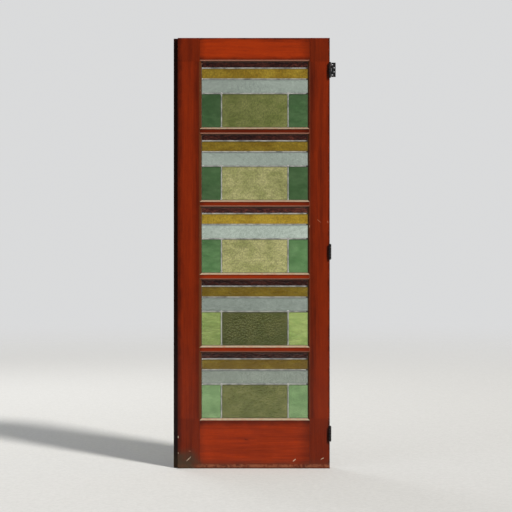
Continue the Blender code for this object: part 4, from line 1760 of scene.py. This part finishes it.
@dataclass
class Studio:
    """Pale floor, soft lights and the camera."""

    distance: float = 6.5
    sensor: float = 36.0
    floor_radius: float = 16.0
    key_strength: float = 3.9
    key_angle: float = 8.0
    key_direction: Triple = (0.56, -0.56, 0.62)
    key_colour: Colour = (1.0, 0.97, 0.92)
    fill_power: float = 34.0
    fill_direction: Triple = (-0.75, -0.62, 0.25)
    fill_colour: Colour = (0.92, 0.96, 1.0)
    back_power: float = 70.0
    back_direction: Triple = (-0.45, 0.75, 0.50)
    back_colour: Colour = (0.96, 0.98, 1.0)
    light_distance: float = 6.0
    backdrop: Colour = (0.70, 0.705, 0.71)

    def __post_init__(self) -> None:
        """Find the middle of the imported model."""
        low, high = PACKED_BOX
        self.middle = (low + high) / 2

    def build(self) -> None:
        """Set the studio up."""
        self._build_world()
        self._build_floor()
        self._add_key()
        self._add_light("fill", self.fill_direction, 3.0, self.fill_power, self.fill_colour)
        self._add_light("back", self.back_direction, 2.4, self.back_power, self.back_colour)
        self._build_camera()

    def _build_world(self) -> None:
        """Make pale surroundings that show behind the door and through the glass."""
        world = bpy.data.worlds.new("studio")
        bpy.context.scene.world = world
        sheet = ShaderSheet(world)
        seen = sheet.node("ShaderNodeLightPath", output="Is Camera Ray")
        through = sheet.node("ShaderNodeLightPath", output="Is Transmission Ray")
        mirrored = sheet.node("ShaderNodeLightPath", output="Is Glossy Ray")
        patches = sheet.noise(sheet.place(), 15.0, 3.0, 0.55).rising(0.38, 0.62)
        uneven = 1.0 - through * 0.28 + through * patches * 0.56
        open_view = seen | through
        strength = open_view * uneven + (1.0 - open_view) * (0.45 - mirrored * 0.30)
        background = sheet.tree.nodes["Background"]
        sheet.feed(background.inputs["Color"], self.backdrop)
        sheet.feed(background.inputs["Strength"], strength)

    def _build_floor(self) -> None:
        """Lay a pale disc of floor that fades into the surroundings."""
        bm = bmesh.new()
        bmesh.ops.create_circle(
            bm, cap_ends=True, segments=96, radius=self.floor_radius,
            matrix=Matrix.Translation((self.middle.x, self.middle.y, FOOT)))
        mesh = bpy.data.meshes.new("studio_floor")
        bm.to_mesh(mesh)
        bm.free()
        sheet = ShaderSheet.for_material("studio_floor")
        place = sheet.place()
        away = sheet.vector("DISTANCE", place, (self.middle.x, self.middle.y, FOOT), output="Value")
        speck = sheet.noise(place, 60.0, 4.0, 0.7)
        colour = sheet.mix(speck.rising(0.3, 0.7), (0.60, 0.60, 0.59), (0.66, 0.66, 0.65))
        sheet.principled(Base_Color=colour, Roughness=0.9, Specular_IOR_Level=0.2)
        main = sheet.tree.nodes["Principled BSDF"]
        clear = sheet.node("ShaderNodeBsdfTransparent")
        fade = away.rising(self.floor_radius * 0.15, self.floor_radius * 0.92)
        mixed = sheet.node(
            "ShaderNodeMixShader", values={0: fade, 1: Wire(sheet, main.outputs[0]), 2: clear})
        output = sheet.tree.nodes["Material Output"]
        sheet.feed(output.inputs["Surface"], mixed)
        mesh.materials.append(sheet.owner)
        in_scene("studio_floor", mesh)

    def _add_key(self) -> None:
        """Add the key light, a distant disc that lights the door and the floor evenly."""
        data = bpy.data.lights.new("key", "SUN")
        data.energy = self.key_strength
        data.angle = math.radians(self.key_angle)
        data.color = self.key_colour
        lamp = in_scene("key", data)
        lamp.rotation_euler = Vector(self.key_direction).to_track_quat("Z", "Y").to_euler()

    def _add_light(
        self, name: str, direction: Triple, size: float, power: float, colour: Colour,
    ) -> None:
        """Add a soft disc of light that faces the door.

        Args:
            name: the light's name.
            direction: where it stands, seen from the door's middle.
            size: its diameter.
            power: its power in watts.
            colour: its colour.
        """
        data = bpy.data.lights.new(name, "AREA")
        data.shape = "DISK"
        data.size = size
        data.energy = power
        data.color = colour
        lamp = in_scene(name, data)
        aim = Vector(direction).normalized()
        lamp.location = self.middle + aim * self.light_distance
        lamp.rotation_euler = aim.to_track_quat("Z", "Y").to_euler()

    def _build_camera(self) -> None:
        """Put a camera square on to the face, framed as the photograph is."""
        centre_x, centre_z = photo_place(PHOTO_SIZE / 2, PHOTO_SIZE / 2)
        data = bpy.data.cameras.new("camera")
        data.sensor_width = self.sensor
        data.lens = self.sensor * self.distance / (PHOTO_SIZE * PHOTO_SCALE)
        camera = in_scene("camera", data)
        camera.location = (centre_x, FRONT - self.distance, centre_z)
        camera.rotation_euler = (math.radians(90), 0.0, 0.0)
        bpy.context.scene.camera = camera
        bpy.context.scene.view_settings.view_transform = "Standard"


@dataclass(frozen=True)
class GlassStock:
    """The sheets of glass that the panes were cut from, and how deep each pane's sheet is."""

    purple: tuple[Depth, ...] = (Depth.MEDIUM, Depth.MEDIUM, Depth.PALE, Depth.DEEP, Depth.DEEP)
    amber: tuple[Depth, ...] = (Depth.CLEAR, Depth.MEDIUM, Depth.PALE, Depth.DEEP, Depth.DEEP)
    white: tuple[Depth, ...] = (Depth.MEDIUM, Depth.MEDIUM, Depth.CLEAR, Depth.DEEP, Depth.DEEP)
    green: tuple[Depth, ...] = (Depth.DARK, Depth.DARK, Depth.DEEP, Depth.CLEAR, Depth.MEDIUM)
    olive: tuple[Depth, ...] = (Depth.MEDIUM, Depth.PALE, Depth.PALE, Depth.DARK, Depth.DEEP)
    bottle_green: tuple[Colour, Colour] = ((0.180, 0.390, 0.140), (0.290, 0.530, 0.220))
    moss_green: tuple[Colour, Colour] = ((0.250, 0.345, 0.100), (0.350, 0.430, 0.140))
    sea_green: tuple[Colour, Colour] = ((0.210, 0.370, 0.150), (0.310, 0.490, 0.220))
    leaf_olive: tuple[Colour, Colour] = ((0.255, 0.295, 0.078), (0.430, 0.440, 0.150))
    straw_olive: tuple[Colour, Colour] = ((0.300, 0.305, 0.110), (0.500, 0.470, 0.210))
    dark_purple: tuple[Colour, Colour] = ((0.022, 0.007, 0.007), (0.420, 0.110, 0.062))
    gold_amber: tuple[Colour, Colour] = ((0.330, 0.200, 0.018), (0.520, 0.360, 0.042))
    milk_white: tuple[Colour, Colour] = ((0.500, 0.580, 0.495), (0.570, 0.650, 0.560))

    def for_light(self, index: int) -> tuple[dict[str, bpy.types.Material], dict[str, Rolling]]:
        """Choose the glass of each pane of a light.

        Args:
            index: the light's number from the top.

        Returns:
            The materials and the surfaces by the name of the pane.
        """
        at = index - 1
        bottle, moss, sea = self.bottle_green, self.moss_green, self.sea_green
        leaf, straw = self.leaf_olive, self.straw_olive
        green = (bottle, bottle, bottle, moss, sea)[at]
        olive = (leaf, straw, straw, leaf, leaf)[at]
        sheets = {
            "purple": SheetGlass(
                f"purple_glass_{index}", *self.dark_purple,
                Rolling.SEEDY, self.purple[at], roughness=0.05, mottle=0.6, fleck=0.85),
            "amber": SheetGlass(
                f"amber_glass_{index}", *self.gold_amber,
                Rolling.HAMMERED, self.amber[at], roughness=0.04, mottle=0.75),
            "white": SheetGlass(
                f"white_glass_{index}", *self.milk_white,
                Rolling.MUFFLED, self.white[at], roughness=0.10, mottle=0.45),
            "green": SheetGlass(
                f"green_glass_{index}", *green,
                Rolling.RIPPLED, self.green[at], roughness=0.04, mottle=0.40),
            "olive": SheetGlass(
                f"olive_glass_{index}", *olive,
                Rolling.HAMMERED, self.olive[at], roughness=0.04, mottle=0.80),
        }
        uses = {
            "purple": "purple", "amber": "amber", "white": "white",
            "green_left": "green", "centre": "olive", "green_right": "green",
        }
        finishes = {name: sheet.build() for name, sheet in sheets.items()}
        glasses = {pane: finishes[sheet] for pane, sheet in uses.items()}
        return glasses, {pane: sheets[sheet].rolling for pane, sheet in uses.items()}


def main() -> None:
    """Dress the door and set the studio up around it."""
    logging.basicConfig(level=logging.INFO, format="%(name)s: %(message)s")
    Woodwork().build()
    lead, solder, putty = WeatheredLead().build(), Solder().build(), Putty().build()
    bead_wood, steel, screws = BeadWood().build(), OxidisedSteel().build(), PlatedScrew().build()
    stock = GlassStock()
    for index in range(1, LIGHT_COUNT + 1):
        glasses, rollings = stock.for_light(index)
        LeadedLight(index, lead, solder, putty, glasses, rollings).build()
        GlazingBeads(index, bead_wood, screws).build()
    for name, swing in (("top", TOP_LEAF_SWING), ("middle", 0.0), ("bottom", 0.0)):
        ButtHinge(name, steel, screws, swing).build()
    Studio().build()
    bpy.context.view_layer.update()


if __name__ == "__main__":
    main()
